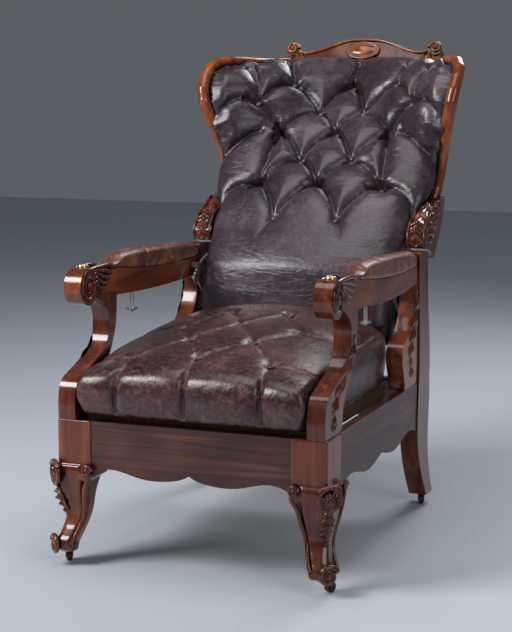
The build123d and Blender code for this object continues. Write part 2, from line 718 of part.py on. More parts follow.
def cushion_section(along, half_share, side_share, crown_share, foot_share):
    """One upright section of the cushion: flat foot, drawn-in sides, crowned top."""
    half = half_share * CUSHION_HALF
    foot = cushion_bottom + foot_share * CUSHION_HEIGHT
    side = cushion_bottom + side_share * CUSHION_HEIGHT
    crown = cushion_bottom + crown_share * CUSHION_HEIGHT
    waist = foot + (side - foot) * CUSHION_BULGE_SHARE
    right = spots(CUSHION_CROWN_SHARES, (0, side), (half - CUSHION_TUCK, crown - side))
    top = right + [(-x, height) for x, height in right[-2::-1]]
    flank = refined([(half - CUSHION_TUCK, foot), (half, waist), (half - CUSHION_TUCK, side)], 2)
    other = [(-x, height) for x, height in flank[::-1]]
    return facets(
        facing_plane(CUSHION_FRONT + along * cushion_length),
        flank[:-1] + refined(top, 2) + other[1:],
    )


# The back's frame follows one side line, from its foot below the hinge to the crest.
# Points are shares of the rise and the rearward run from the hinge to the crest.
BACK_RUN = 490.0
BACK_RISE = 635.0
FRAME_THICKNESS = 34.0
BACK_LINE_SHARES = [
    (-0.051, -0.087), (-0.033, 0.008), (0.029, 0.118), (0.137, 0.244), (0.29, 0.367),
    (0.422, 0.472), (0.576, 0.591), (0.729, 0.709), (0.861, 0.827), (0.953, 0.929), (1, 1),
]
LEATHER_THICKNESS = 3.0
BACK_STILE_WIDTH = 50.0
BACK_STILE_OUTER = 252.0
BACK_STILE_TOP_OUTER = 214.0
BACK_STILE_TAPER_START = 600.0
BACK_RAIL_TOP = 500.0


def beside(line, distance):
    """Points at a distance behind a smooth line, square to it at each point."""
    moved = []
    for index, (depth, height) in enumerate(line):
        before = line[max(index - 1, 0)]
        after = line[min(index + 1, len(line) - 1)]
        run, rise = after[0] - before[0], after[1] - before[1]
        length = hypot(run, rise)
        moved.append((depth + rise / length * distance, height - run / length * distance))
    return moved


def strip(plane, line, near, far):
    """The strip between two distances behind a smooth line."""
    front, back = beside(line, near), beside(line, far)
    return outline(plane, front, [front[-1], back[-1]], back[::-1], [back[0], front[0]])


def tapered(outer_low, outer_high, width):
    """An upright band that leans in towards the top, seen from the front."""
    points = [
        (outer_low, 0), (outer_low, BACK_STILE_TAPER_START), (outer_high, crest_height),
        (outer_high, crest_height * 2), (outer_high - width, crest_height * 2),
        (outer_high - width, crest_height), (outer_low - width, BACK_STILE_TAPER_START),
        (outer_low - width, 0),
    ]
    with BuildSketch(facing_plane(0)) as band:
        with BuildLine():
            Polyline(*points, close=True)
        make_face()
    return band.sketch


crest_height = HINGE_HEIGHT + BACK_RISE
crest_depth = HINGE_DEPTH + BACK_RUN
back_line = spots(BACK_LINE_SHARES, (HINGE_DEPTH, HINGE_HEIGHT), (BACK_RUN, BACK_RISE))

with BuildPart() as back_stile:
    extrude(strip(side_plane(0), back_line, 0, FRAME_THICKNESS), amount=HALF_SPAN)
    extrude(
        tapered(BACK_STILE_OUTER, BACK_STILE_TOP_OUTER, BACK_STILE_WIDTH),
        amount=-crest_depth * 2,
        mode=Mode.INTERSECT,
    )
    with BuildSketch(side_plane(0)):
        with Locations((HINGE_DEPTH, HINGE_HEIGHT)):
            Circle(PIN_RADIUS + RUNNING_GAP)
    extrude(amount=HALF_SPAN, mode=Mode.SUBTRACT)

with BuildPart() as back_bottom_rail:
    extrude(
        strip(side_plane(BACK_STILE_WIDTH - BACK_STILE_OUTER), back_line, 0, FRAME_THICKNESS),
        amount=(BACK_STILE_OUTER - BACK_STILE_WIDTH) * 2,
    )
    with BuildSketch(level_plane(BACK_RAIL_TOP)):
        with Locations((0, crest_depth)):
            Rectangle(BLOCK_SPAN, crest_depth * 2)
    extrude(amount=BACK_RISE, mode=Mode.SUBTRACT)
save(back_bottom_rail, "back_bottom_rail")

# Hinge pins: each is fixed in a rear leg and carries the foot of the back
pin_inner = BACK_STILE_OUTER - BACK_STILE_WIDTH
pin_outer = STILE_INNER + PIN_INTO_STILE
with BuildPart() as hinge_pins:
    for start in (pin_inner, -pin_outer):
        with BuildSketch(side_plane(start)):
            with Locations((HINGE_DEPTH, HINGE_HEIGHT)):
                Circle(PIN_RADIUS)
        extrude(amount=pin_outer - pin_inner)
save(hinge_pins, "hinge_pins")

# Crest rail: a shaped board that leans back, with a raised oval and a scroll at each end
CREST_BASE_DEPTH = 1190.0
CREST_BASE_HEIGHT = 1118.0
CREST_LEAN = 28.0
CREST_THICKNESS = 32.0
CREST_RISE = 75.0
CREST_HALF = 205.0
CREST_SCROLL_RADIUS = 17.0
CREST_SCROLL_HEIGHT = 38.0
CREST_OVAL_WIDTH = 86.0
CREST_OVAL_HEIGHT = 44.0
CREST_OVAL_MIDDLE = 36.0
CREST_OVAL_RISE = 6.0
CREST_TOP_SHARES = [
    (0, 1), (0.24, 0.95), (0.42, 0.79), (0.58, 0.6), (0.78, 0.47), (0.93, 0.56),
]
CREST_END_SHARES = [(1.04, 0.5), (1.06, 0.25), (1.02, 0)]

crest_plane = Plane(
    origin=(0, BLOCK_FRONT + CREST_BASE_DEPTH, CREST_BASE_HEIGHT),
    x_dir=(1, 0, 0),
    z_dir=(0, -cos(radians(CREST_LEAN)), sin(radians(CREST_LEAN))),
)
crest_top = spots(CREST_TOP_SHARES, (0, 0), (CREST_HALF, CREST_RISE))
crest_end = spots(CREST_END_SHARES, (0, 0), (CREST_HALF, CREST_RISE))
with BuildPart() as crest_rail:
    with BuildSketch(crest_plane):
        with BuildLine():
            Spline(*crest_top)
            Line(crest_top[-1], crest_end[0])
            Spline(*crest_end)
            Line(crest_end[-1], (0, 0))
            mirror(about=Plane.YZ)
        make_face()
    extrude(amount=-CREST_THICKNESS)
    with BuildSketch(crest_plane):
        with Locations((CREST_HALF, CREST_SCROLL_HEIGHT), (-CREST_HALF, CREST_SCROLL_HEIGHT)):
            Circle(CREST_SCROLL_RADIUS)
    extrude(amount=CREST_OVAL_RISE)
    with BuildSketch(crest_plane):
        with Locations((CREST_HALF, CREST_SCROLL_HEIGHT), (-CREST_HALF, CREST_SCROLL_HEIGHT)):
            Circle(CREST_SCROLL_RADIUS)
    extrude(amount=-CREST_THICKNESS)
    with BuildSketch(crest_plane):
        with Locations((0, CREST_OVAL_MIDDLE)):
            Ellipse(CREST_OVAL_WIDTH / 2, CREST_OVAL_HEIGHT / 2)
    extrude(amount=CREST_OVAL_RISE)
save(crest_rail, "crest_rail")

# Wing frames: a rounded moulding from the crest's scroll, out along the top of the wing,
# and down to the console. A row holds the x, depth and height shares, and the thickness.
WING_SPREAD = 344.0
WING_THICKNESS = 26.0
WING_SIDES = 10
WING_PATH_SHARES = [
    (0.6, 0.925, 1.0, 0.9),
    (0.68, 0.83, 0.994, 0.95),
    (0.785, 0.69, 0.996, 1),
    (0.885, 0.57, 1.0, 1),
    (0.955, 0.48, 0.995, 1),
    (0.995, 0.415, 0.97, 1),
    (1.0, 0.355, 0.93, 1),
    (0.993, 0.315, 0.885, 1),
    (0.978, 0.304, 0.838, 1),
    (0.95, 0.33, 0.78, 1),
    (0.912, 0.38, 0.7, 1),
    (0.88, 0.415, 0.64, 1),
    (0.86, 0.43, 0.57, 1),
    (0.835, 0.42, 0.49, 1),
    (0.81, 0.38, 0.42, 1),
]
wing_path = [
    Vector(
        across * WING_SPREAD,
        BLOCK_FRONT + HINGE_DEPTH + along * BACK_RUN,
        HINGE_HEIGHT + up * BACK_RISE,
    )
    for across, along, up, thick in WING_PATH_SHARES
]
with BuildPart() as wing_frame:
    for index, (spot, row) in enumerate(zip(wing_path, WING_PATH_SHARES)):
        before = wing_path[max(index - 1, 0)]
        after = wing_path[min(index + 1, len(wing_path) - 1)]
        heading = (after - before).normalized()
        outward = Vector(1, 0, 0) - heading * heading.X
        with BuildSketch(Plane(origin=spot, x_dir=outward, z_dir=heading)):
            RegularPolygon(row[3] * WING_THICKNESS / 2, WING_SIDES)
    loft(ruled=True)

# Consoles: carved brackets on the back that stand over the tops of the rear legs
CONSOLE_INNER = 262.0
CONSOLE_THICKNESS = 50.0
CONSOLE_RADIUS = 176.0
CONSOLE_FRONT_SHARES = [
    (0.097, 0.995), (0.11, 1.2), (0.227, 1.335), (0.409, 1.42), (0.602, 1.551),
]
CONSOLE_BACK_SHARES = [
    (1.13, 1.66), (1.07, 1.45), (0.93, 1.22), (0.76, 1.02), (0.58, 0.815),
]
console_size = (CONSOLE_RADIUS, CONSOLE_RADIUS)
console_front = spots(CONSOLE_FRONT_SHARES, (HINGE_DEPTH, HINGE_HEIGHT), console_size)
console_back = spots(CONSOLE_BACK_SHARES, (HINGE_DEPTH, HINGE_HEIGHT), console_size)
with BuildPart() as console:
    extrude(
        outline(
            side_plane(CONSOLE_INNER),
            console_front,
            [console_front[-1], console_back[0]],
            console_back,
            [console_back[-1], console_front[0]],
        ),
        amount=CONSOLE_THICKNESS,
    )
    with BuildSketch(side_plane(CONSOLE_INNER)):
        with Locations((HINGE_DEPTH, HINGE_HEIGHT)):
            Circle(CONSOLE_RADIUS)
    extrude(amount=CONSOLE_THICKNESS, mode=Mode.SUBTRACT)
    add(wing_frame.part, mode=Mode.SUBTRACT)

# Ratchet: a toothed steel quadrant on each side of the back, about the hinge
QUADRANT_RADIUS = 148.0
QUADRANT_RIM = 24.0
QUADRANT_THICKNESS = 5.0
QUADRANT_HUB_RADIUS = 17.0
QUADRANT_SPOKE_WIDTH = 13.0
QUADRANT_FIRST_ANGLE = -20.0
QUADRANT_LAST_ANGLE = 52.0
QUADRANT_SPOKE_ANGLES = (-12.0, 44.0)
TOOTH_FIRST_ANGLE = 5.0
TOOTH_COUNT = 10
TOOTH_PITCH_ANGLE = 4.6
TOOTH_DEPTH = 6.0
QUADRANT_SCREW_RADIUS = 3.0
QUADRANT_SCREW_RISE = 1.6


def round_hinge(angle, radius):
    """A point about the hinge: the angle runs forward from upright."""
    return (
        HINGE_DEPTH - radius * sin(radians(angle)),
        HINGE_HEIGHT + radius * cos(radians(angle)),
    )


quadrant_middle_angle = (QUADRANT_FIRST_ANGLE + QUADRANT_LAST_ANGLE) / 2
rim_inner = QUADRANT_RADIUS - QUADRANT_RIM
with BuildPart() as quadrant:
    with BuildSketch(side_plane(BACK_STILE_OUTER)) as plate:
        with BuildLine():
            ThreePointArc(
                round_hinge(QUADRANT_FIRST_ANGLE, QUADRANT_RADIUS),
                round_hinge(quadrant_middle_angle, QUADRANT_RADIUS),
                round_hinge(QUADRANT_LAST_ANGLE, QUADRANT_RADIUS),
            )
            Line(
                round_hinge(QUADRANT_LAST_ANGLE, QUADRANT_RADIUS),
                round_hinge(QUADRANT_LAST_ANGLE, rim_inner),
            )
            ThreePointArc(
                round_hinge(QUADRANT_LAST_ANGLE, rim_inner),
                round_hinge(quadrant_middle_angle, rim_inner),
                round_hinge(QUADRANT_FIRST_ANGLE, rim_inner),
            )
            Line(
                round_hinge(QUADRANT_FIRST_ANGLE, rim_inner),
                round_hinge(QUADRANT_FIRST_ANGLE, QUADRANT_RADIUS),
            )
        make_face()
        for angle in QUADRANT_SPOKE_ANGLES:
            with Locations(Location((*round_hinge(angle, rim_inner / 2), 0), (0, 0, angle))):
                Rectangle(QUADRANT_SPOKE_WIDTH, rim_inner + QUADRANT_RIM / 2)
        with Locations((HINGE_DEPTH, HINGE_HEIGHT)):
            Circle(QUADRANT_HUB_RADIUS)
            Circle(PIN_RADIUS + RUNNING_GAP, mode=Mode.SUBTRACT)
        for number in range(TOOTH_COUNT):
            angle = TOOTH_FIRST_ANGLE + number * TOOTH_PITCH_ANGLE
            with BuildLine():
                Polyline(
                    round_hinge(angle, QUADRANT_RADIUS + OVERRUN),
                    round_hinge(angle, QUADRANT_RADIUS - TOOTH_DEPTH),
                    round_hinge(angle + TOOTH_PITCH_ANGLE, QUADRANT_RADIUS + OVERRUN),
                    close=True,
                )
            make_face(mode=Mode.SUBTRACT)
    extrude(amount=QUADRANT_THICKNESS)
    with BuildSketch(side_plane(BACK_STILE_OUTER + QUADRANT_THICKNESS)):
        with Locations(
            round_hinge(QUADRANT_SPOKE_ANGLES[0], QUADRANT_RADIUS - QUADRANT_RIM / 2),
            round_hinge(QUADRANT_SPOKE_ANGLES[0], rim_inner / 2),
        ):
            Circle(QUADRANT_SCREW_RADIUS)
    extrude(amount=QUADRANT_SCREW_RISE)
save_pair(quadrant, "quadrant")

# Back upholstery: level sections from its foot to the top of the wings. Each row holds the
# height share, then points from the middle of the front to the lip of the wing, then points
# from the lip round the outside to the rear corner: shares of the wing spread and back run.
BACK_SECTION_SHARES = [
    (-0.095, [(0, -0.17), (0.38, -0.17), (0.64, -0.155), (0.72, -0.13)],
     [(0.73, -0.08), (0.73, 0)]),
    (-0.01, [(0, -0.238), (0.38, -0.236), (0.64, -0.216), (0.72, -0.17)],
     [(0.73, -0.1), (0.73, 0.04)]),
    (0.087, [(0, -0.225), (0.38, -0.221), (0.65, -0.196), (0.72, -0.15)],
     [(0.73, -0.07), (0.73, 0.08)]),
    (0.197, [(0, -0.18), (0.38, -0.175), (0.65, -0.14), (0.72, -0.09)],
     [(0.73, 0.02), (0.73, 0.16)]),
    (0.307, [(0, -0.085), (0.4, -0.077), (0.66, -0.03), (0.745, 0.04)],
     [(0.745, 0.14), (0.74, 0.28)]),
    (0.417, [(0, 0.063), (0.42, 0.075), (0.68, 0.13), (0.765, 0.2)],
     [(0.775, 0.31), (0.77, 0.43)]),
    (0.528, [(0, 0.23), (0.43, 0.25), (0.7, 0.278), (0.815, 0.325)],
     [(0.82, 0.42), (0.76, 0.57)]),
    (0.638, [(0, 0.41), (0.32, 0.4), (0.6, 0.365), (0.86, 0.36)],
     [(0.875, 0.45), (0.73, 0.72)]),
    (0.748, [(0, 0.572), (0.29, 0.548), (0.51, 0.48), (0.74, 0.385), (0.925, 0.315)],
     [(0.94, 0.4), (0.71, 0.85)]),
    (0.835, [(0, 0.71), (0.29, 0.655), (0.49, 0.53), (0.68, 0.415), (0.965, 0.285)],
     [(0.975, 0.38), (0.69, 0.95)]),
    (0.909, [(0, 0.812), (0.26, 0.735), (0.44, 0.63), (0.64, 0.505), (0.985, 0.32)],
     [(0.985, 0.43), (0.67, 1.03)]),
    (0.968, [(0, 0.9), (0.26, 0.835), (0.5, 0.715), (0.75, 0.58), (0.97, 0.392)],
     [(0.96, 0.52), (0.64, 1.05)]),
    (0.99, [(0, 0.935), (0.26, 0.88), (0.51, 0.78), (0.72, 0.65), (0.95, 0.43)],
     [(0.94, 0.56), (0.61, 1.03)]),
]
FRONT_FACETS = 12
FLANK_FACETS = 2
PIN_CHANNEL_RADIUS = 9.0

# Buttons of the back, from the top row down: x, depth and height shares
BACK_BUTTON_SHARES = [
    (0, 0.816, 0.884), (0.416, 0.649, 0.901),
    (0.174, 0.608, 0.783), (0.616, 0.459, 0.827),
    (0, 0.522, 0.693), (0.448, 0.492, 0.683),
    (0.203, 0.337, 0.587),
    (0, 0.231, 0.48), (0.48, 0.249, 0.482),
    (0.244, 0.007, 0.38),
]
BUTTON_RADIUS = 8.0
BUTTON_THICKNESS = 5.0
BUTTON_SIDES = 12
BUTTON_TAPER = 30.0
DIMPLE_DEPTH = 5.0
DIMPLE_REACH = 30.0
DIMPLE_TAPER = -52.0
FOLD_HALF_WIDTH = 8.0
FOLD_ROOT = 3.0
FOLD_MOUTH = 26.0


def back_section(up, front, flank):
    """One level section of the upholstery."""
    size = (WING_SPREAD, BACK_RUN)
    right = spots(front, (0, HINGE_DEPTH), size)
    side = [right[-1]] + spots(flank, (0, HINGE_DEPTH), size)
    left = [(-x, depth) for x, depth in right[:0:-1]]
    face = refined(left + right, FRONT_FACETS // (len(right) - 1))
    side = refined(side, FLANK_FACETS)
    other = [(-x, depth) for x, depth in side[::-1]]
    return facets(level_plane(HINGE_HEIGHT + up * BACK_RISE), face + side[1:] + other[:-1])


def fold_cut(start, end, outward):
    """A wedge along the line between two buttons, open outward, to be cut away."""
    heading = (end - start).normalized()
    plane = Plane(origin=start, x_dir=outward.cross(heading), z_dir=heading)
    with BuildPart() as wedge:
        with BuildSketch(plane):
            with BuildLine():
                Polyline(
                    (0, -FOLD_ROOT),
                    (FOLD_HALF_WIDTH, FOLD_MOUTH),
                    (-FOLD_HALF_WIDTH, FOLD_MOUTH),
                    close=True,
                )
            make_face()
        extrude(amount=(end - start).length)
    return wedge.part


def back_spot(row, side=1):
    """Where a button of the back lies, on the right or the left."""
    across, along, up = row
    return Vector(
        side * across * WING_SPREAD,
        BLOCK_FRONT + HINGE_DEPTH + along * BACK_RUN,
        HINGE_HEIGHT + up * BACK_RISE,
    )


def dimple(spot, outward):
    """The hollow that a button draws down, to be cut away."""
    plane = Plane(origin=spot - outward * DIMPLE_DEPTH, z_dir=outward)
    with BuildPart() as hollow:
        with BuildSketch(plane):
            RegularPolygon(BUTTON_RADIUS + SOFT_GAP, BUTTON_SIDES)
        extrude(amount=DIMPLE_REACH, taper=DIMPLE_TAPER)
    return hollow.part


def button(spot, outward):
    """A domed button that fills the foot of the hollow at a spot."""
    plane = Plane(origin=spot - outward * DIMPLE_DEPTH, z_dir=outward)
    with BuildPart() as knob:
        with BuildSketch(plane):
            RegularPolygon(BUTTON_RADIUS, BUTTON_SIDES)
        extrude(amount=BUTTON_THICKNESS, taper=BUTTON_TAPER)
    return knob.part


back_face = Vector(0, -BACK_RISE, BACK_RUN).normalized()
back_spots = [
    back_spot(row, side) for side in (1, -1) for row in BACK_BUTTON_SHARES if side > 0 or row[0]
]
with BuildPart() as back_upholstery:
    loft([back_section(*row) for row in BACK_SECTION_SHARES], ruled=True)
    for spot in back_spots:
        add(dimple(spot, back_face), mode=Mode.SUBTRACT)
    extrude(
        strip(
            side_plane(BACK_STILE_WIDTH - BACK_STILE_TOP_OUTER), back_line, 0, BACK_RUN / 2
        ),
        amount=(BACK_STILE_TOP_OUTER - BACK_STILE_WIDTH) * 2,
        mode=Mode.SUBTRACT,
    )
    extrude(
        strip(side_plane(-BACK_STILE_OUTER), back_line, FRAME_THICKNESS, BACK_RUN / 2),
        amount=BACK_STILE_OUTER * 2,
        mode=Mode.SUBTRACT,
    )
    for channel in (pin_inner - SOFT_GAP, -HALF_SPAN):
        with BuildSketch(side_plane(channel)):
            with Locations((HINGE_DEPTH, HINGE_HEIGHT)):
                Circle(PIN_CHANNEL_RADIUS)
        extrude(amount=HALF_SPAN - pin_inner + SOFT_GAP, mode=Mode.SUBTRACT)
    for start in (BACK_STILE_OUTER - SOFT_GAP, SOFT_GAP - BACK_STILE_OUTER - WING_THICKNESS):
        with BuildSketch(side_plane(start)):
            with Locations((HINGE_DEPTH, HINGE_HEIGHT)):
                Circle(QUADRANT_RADIUS + TOOTH_DEPTH)
        extrude(amount=WING_THICKNESS, mode=Mode.SUBTRACT)
    for neighbour in (back_stile, wing_frame, console):
        add(neighbour.part, mode=Mode.SUBTRACT)
        mirror(neighbour.part, about=Plane.YZ, mode=Mode.SUBTRACT)
    add(back_bottom_rail.part, mode=Mode.SUBTRACT)
    add(crest_rail.part, mode=Mode.SUBTRACT)
    add(back_upholstery.solids().sort_by(SortBy.VOLUME)[-1], mode=Mode.REPLACE)
save(back_upholstery, "back_upholstery")
with BuildPart() as trimmed_stile:
    add(back_stile.part)
    add(crest_rail.part, mode=Mode.SUBTRACT)
save_pair(trimmed_stile, "back_stile")
save_pair(wing_frame, "wing_frame")
save_pair(console, "console")

with BuildPart() as back_buttons:
    for spot in back_spots:
        add(button(spot, back_face))
save(back_buttons, "back_buttons")

# Seat tufts, from the front row back: shares of the half width and of the length
SEAT_BUTTON_SHARES = [
    (-0.6, 0.155), (-0.04, 0.155), (0.57, 0.155), (-0.3, 0.34), (0.26, 0.35),
    (-0.56, 0.52), (-0.04, 0.56), (0.52, 0.53), (-0.3, 0.76), (0.24, 0.76),
]
SEAT_FOLDS = [
    (0, 3), (1, 3), (1, 4), (2, 4), (3, 5), (3, 6), (4, 6), (4, 7), (5, 8), (6, 8), (6, 9), (7, 9),
]
FRONT_FOLD_BUTTONS = 3
FRONT_FOLD_DEPTH = 5.0


def between(table, column, along):
    """Read a column of the cushion's table at a share of the length."""
    for low, high in zip(table, table[1:]):
        if along <= high[0]:
            part = (along - low[0]) / (high[0] - low[0])
            return low[column] + part * (high[column] - low[column])
    return table[-1][column]


def seat_spot(across, along):
    """The top of the cushion at shares of its half width and length."""
    side = between(CUSHION_SECTION_SHARES, 2, along)
    crown = between(CUSHION_SECTION_SHARES, 3, along)
    inward = sorted((share, rise) for share, rise in CUSHION_CROWN_SHARES)
    rise = between(inward, 1, abs(across))
    return Vector(
        across * CUSHION_HALF,
        BLOCK_FRONT + CUSHION_FRONT + along * cushion_length,
        cushion_bottom + (side + rise * (crown - side)) * CUSHION_HEIGHT,
    )


seat_spots = [seat_spot(*row) for row in SEAT_BUTTON_SHARES]
upward = Vector(0, 0, 1)
forward = Vector(0, -1, 0)
with BuildPart() as seat_cushion:
    loft([cushion_section(*row) for row in CUSHION_SECTION_SHARES], ruled=True)
    for spot in seat_spots:
        add(dimple(spot, upward), mode=Mode.SUBTRACT)
    for first, second in SEAT_FOLDS:
        add(fold_cut(seat_spots[first], seat_spots[second], upward), mode=Mode.SUBTRACT)
    for spot in seat_spots[:FRONT_FOLD_BUTTONS]:
        brow = Vector(spot.X, BLOCK_FRONT + CUSHION_FRONT, spot.Z - FOLD_MOUTH)
        foot = Vector(spot.X, BLOCK_FRONT + CUSHION_FRONT, 0) - forward * FRONT_FOLD_DEPTH
        add(fold_cut(spot, brow, upward), mode=Mode.SUBTRACT)
        add(fold_cut(foot, foot + upward * spot.Z, forward), mode=Mode.SUBTRACT)
save(seat_cushion, "seat_cushion")

with BuildPart() as seat_buttons:
    for spot in seat_spots:
        add(button(spot, upward))
save(seat_buttons, "seat_buttons")

# Outside back: a leather cover nailed on behind the frame
with BuildPart() as outside_back:
    extrude(
        strip(
            side_plane(-BACK_STILE_OUTER), back_line, FRAME_THICKNESS,
            FRAME_THICKNESS + LEATHER_THICKNESS,
        ),
        amount=BACK_STILE_OUTER * 2,
    )
    extrude(
        tapered(BACK_STILE_OUTER, BACK_STILE_TOP_OUTER, BACK_STILE_OUTER),
        amount=-crest_depth * 2,
        mode=Mode.INTERSECT,
    )
    mirror(about=Plane.YZ)
    add(crest_rail.part, mode=Mode.SUBTRACT)
save(outside_back, "outside_back")

# Trigger under each arm, and the hidden train that draws the rod off the quadrant
TRIGGER_DEPTH = 330.0
TRIGGER_WIDTH = 24.0
TRIGGER_LENGTH = 46.0
TRIGGER_THICKNESS = 3.0
TRIGGER_BOTTOM = 534.0
POST_RADIUS = 2.0
POST_SPACING = 16.0
KNOB_RADIUS = 4.0
KNOB_HEIGHT = 5.0
TRIGGER_X = 290.5
GROOVE_WIDTH = 13.0
GROOVE_FLOOR = 588.0
GROOVE_START = 312.0
GROOVE_END = 662.0
COVER_TOP = 621.0
COVER_THICKNESS = 2.0
COVER_WIDTH = 19.0
COVER_LAP = 4.0
BRIDGE_TOP = 604.2
BRIDGE_THICKNESS = 3.2
BRIDGE_WIDTH = 9.0
BRIDGE_LIP = 1.0
BRIDGE_RELIEF = 2.4
CRANK_DEPTH = 352.0
CRANK_HEIGHT = 607.0
CRANK_REACH = 20.0
CRANK_DROP = 16.0
CRANK_THICKNESS = 3.0
CRANK_GAP = 0.5
CRANK_HUB_RADIUS = 4.5
CRANK_TIP_RADIUS = 2.5
CRANK_PIN_RADIUS = 1.5
ROD_WIDTH = 4.0
ROD_HEIGHT = 5.0
ROD_SLOT_GAP = 0.2
ROD_EYE_LENGTH = 12.0
NOSE_START = 634.0
NOSE_LENGTH = 16.0
NOSE_BOTTOM = 602.0
NOSE_HEIGHT = 12.0
NOSE_GAP = 0.4
ROD_TRAVEL = 6.0
SPRING_RADIUS = 3.6
SPRING_WIRE_RADIUS = 0.6

groove_inner = TRIGGER_X - GROOVE_WIDTH / 2
crank_inner = groove_inner + CRANK_GAP
rod_inner = crank_inner + CRANK_THICKNESS + ROD_SLOT_GAP
rod_bottom = GROOVE_FLOOR + SOFT_GAP
cover_bottom = COVER_TOP - COVER_THICKNESS
posts = (TRIGGER_DEPTH - POST_SPACING / 2, TRIGGER_DEPTH + POST_SPACING / 2)
pin_height = CRANK_HEIGHT - CRANK_DROP


def groove_box(low_x, high_x, low_depth, high_depth, bottom, top, mode=Mode.ADD):
    """Add or cut a box given by its three spans."""
    with BuildSketch(level_plane(bottom)) as foot:
        with Locations(((low_x + high_x) / 2, (low_depth + high_depth) / 2)):
            Rectangle(high_x - low_x, high_depth - low_depth)
    extrude(foot.sketch, amount=top - bottom, mode=mode)


with BuildPart() as trigger:
    with BuildSketch(level_plane(TRIGGER_BOTTOM)):
        with Locations((TRIGGER_X, TRIGGER_DEPTH)):
            Ellipse(TRIGGER_WIDTH / 2, TRIGGER_LENGTH / 2)
    extrude(amount=TRIGGER_THICKNESS)
    for post in posts:
        upright_rod(TRIGGER_X, post, TRIGGER_BOTTOM, POST_RADIUS, BRIDGE_TOP - TRIGGER_BOTTOM)
    upright_rod(TRIGGER_X, TRIGGER_DEPTH, TRIGGER_BOTTOM - KNOB_HEIGHT, KNOB_RADIUS, KNOB_HEIGHT)
    groove_box(
        TRIGGER_X - BRIDGE_WIDTH / 2, TRIGGER_X + BRIDGE_WIDTH / 2,
        posts[0] - POST_RADIUS, posts[1] + POST_RADIUS,
        BRIDGE_TOP - BRIDGE_THICKNESS, BRIDGE_TOP,
    )
    groove_box(
        TRIGGER_X - BRIDGE_WIDTH / 2, TRIGGER_X + BRIDGE_WIDTH / 2,
        CRANK_DEPTH - CRANK_REACH + BRIDGE_LIP, posts[1] + POST_RADIUS + OVERRUN,
        BRIDGE_TOP - BRIDGE_RELIEF, BRIDGE_TOP, Mode.SUBTRACT,
    )
save_pair(trigger, "trigger")

with BuildPart() as bell_crank:
    with BuildSketch(side_plane(crank_inner)):
        with Locations((CRANK_DEPTH - CRANK_REACH / 2, CRANK_HEIGHT)):
            Rectangle(CRANK_REACH, CRANK_TIP_RADIUS * 2)
        with Locations((CRANK_DEPTH, CRANK_HEIGHT - CRANK_DROP / 2)):
            Rectangle(CRANK_TIP_RADIUS * 2, CRANK_DROP)
        with Locations((CRANK_DEPTH - CRANK_REACH, CRANK_HEIGHT), (CRANK_DEPTH, pin_height)):
            Circle(CRANK_TIP_RADIUS)
        with Locations((CRANK_DEPTH, CRANK_HEIGHT)):
            Circle(CRANK_HUB_RADIUS)
            Circle(POST_RADIUS + RUNNING_GAP, mode=Mode.SUBTRACT)
    extrude(amount=CRANK_THICKNESS)
    with BuildSketch(side_plane(crank_inner)):
        with Locations((CRANK_DEPTH, pin_height)):
            Circle(CRANK_PIN_RADIUS)
    extrude(amount=CRANK_THICKNESS + ROD_SLOT_GAP + ROD_WIDTH)
save_pair(bell_crank, "bell_crank")

with BuildPart() as pull_rod:
    groove_box(
        rod_inner, rod_inner + ROD_WIDTH, CRANK_DEPTH - ROD_EYE_LENGTH / 2,
        NOSE_START + NOSE_LENGTH, rod_bottom, rod_bottom + ROD_HEIGHT,
    )
    groove_box(
        rod_inner, rod_inner + ROD_WIDTH, CRANK_DEPTH - ROD_EYE_LENGTH / 2,
        CRANK_DEPTH + ROD_EYE_LENGTH / 2, rod_bottom, rod_bottom + ROD_HEIGHT * 2,
    )
    groove_box(
        rod_inner, rod_inner + ROD_WIDTH, NOSE_START, NOSE_START + NOSE_LENGTH,
        rod_bottom, NOSE_BOTTOM + NOSE_HEIGHT,
    )
    groove_box(
        BACK_STILE_OUTER + RUNNING_GAP, rod_inner + ROD_WIDTH, NOSE_START,
        NOSE_START + NOSE_LENGTH, NOSE_BOTTOM, NOSE_BOTTOM + NOSE_HEIGHT,
    )
    with BuildSketch(side_plane(BACK_STILE_OUTER - OVERRUN)):
        with Locations((HINGE_DEPTH, HINGE_HEIGHT)):
            Circle(QUADRANT_RADIUS + NOSE_GAP)
    extrude(amount=rod_inner - BACK_STILE_OUTER + OVERRUN, mode=Mode.SUBTRACT)
    groove_box(
        rod_inner, rod_inner + ROD_WIDTH,
        CRANK_DEPTH - CRANK_PIN_RADIUS - ROD_SLOT_GAP, CRANK_DEPTH + CRANK_PIN_RADIUS + ROD_SLOT_GAP,
        pin_height - CRANK_PIN_RADIUS - ROD_SLOT_GAP, pin_height + CRANK_PIN_RADIUS * 2,
        Mode.SUBTRACT,
    )
save_pair(pull_rod, "pull_rod")

with BuildPart() as crank_pins:
    for start in (groove_inner, -groove_inner - GROOVE_WIDTH):
        with BuildSketch(side_plane(start)):
            with Locations((CRANK_DEPTH, CRANK_HEIGHT)):
                Circle(POST_RADIUS)
        extrude(amount=GROOVE_WIDTH)
save(crank_pins, "crank_pins")

with BuildPart() as groove_cover:
    groove_box(
        TRIGGER_X - COVER_WIDTH / 2, TRIGGER_X + COVER_WIDTH / 2,
        GROOVE_START - COVER_LAP, GROOVE_END + COVER_LAP, cover_bottom, COVER_TOP,
    )
save_pair(groove_cover, "groove_cover")

spring_length = cover_bottom - BRIDGE_TOP
with BuildPart() as trigger_spring:
    upright_rod(TRIGGER_X, posts[0], BRIDGE_TOP, SPRING_RADIUS, spring_length)
    upright_rod(
        TRIGGER_X, posts[0], BRIDGE_TOP, SPRING_RADIUS - SPRING_WIRE_RADIUS * 2,
        spring_length, Mode.SUBTRACT,
    )
save_pair(trigger_spring, "trigger_spring")

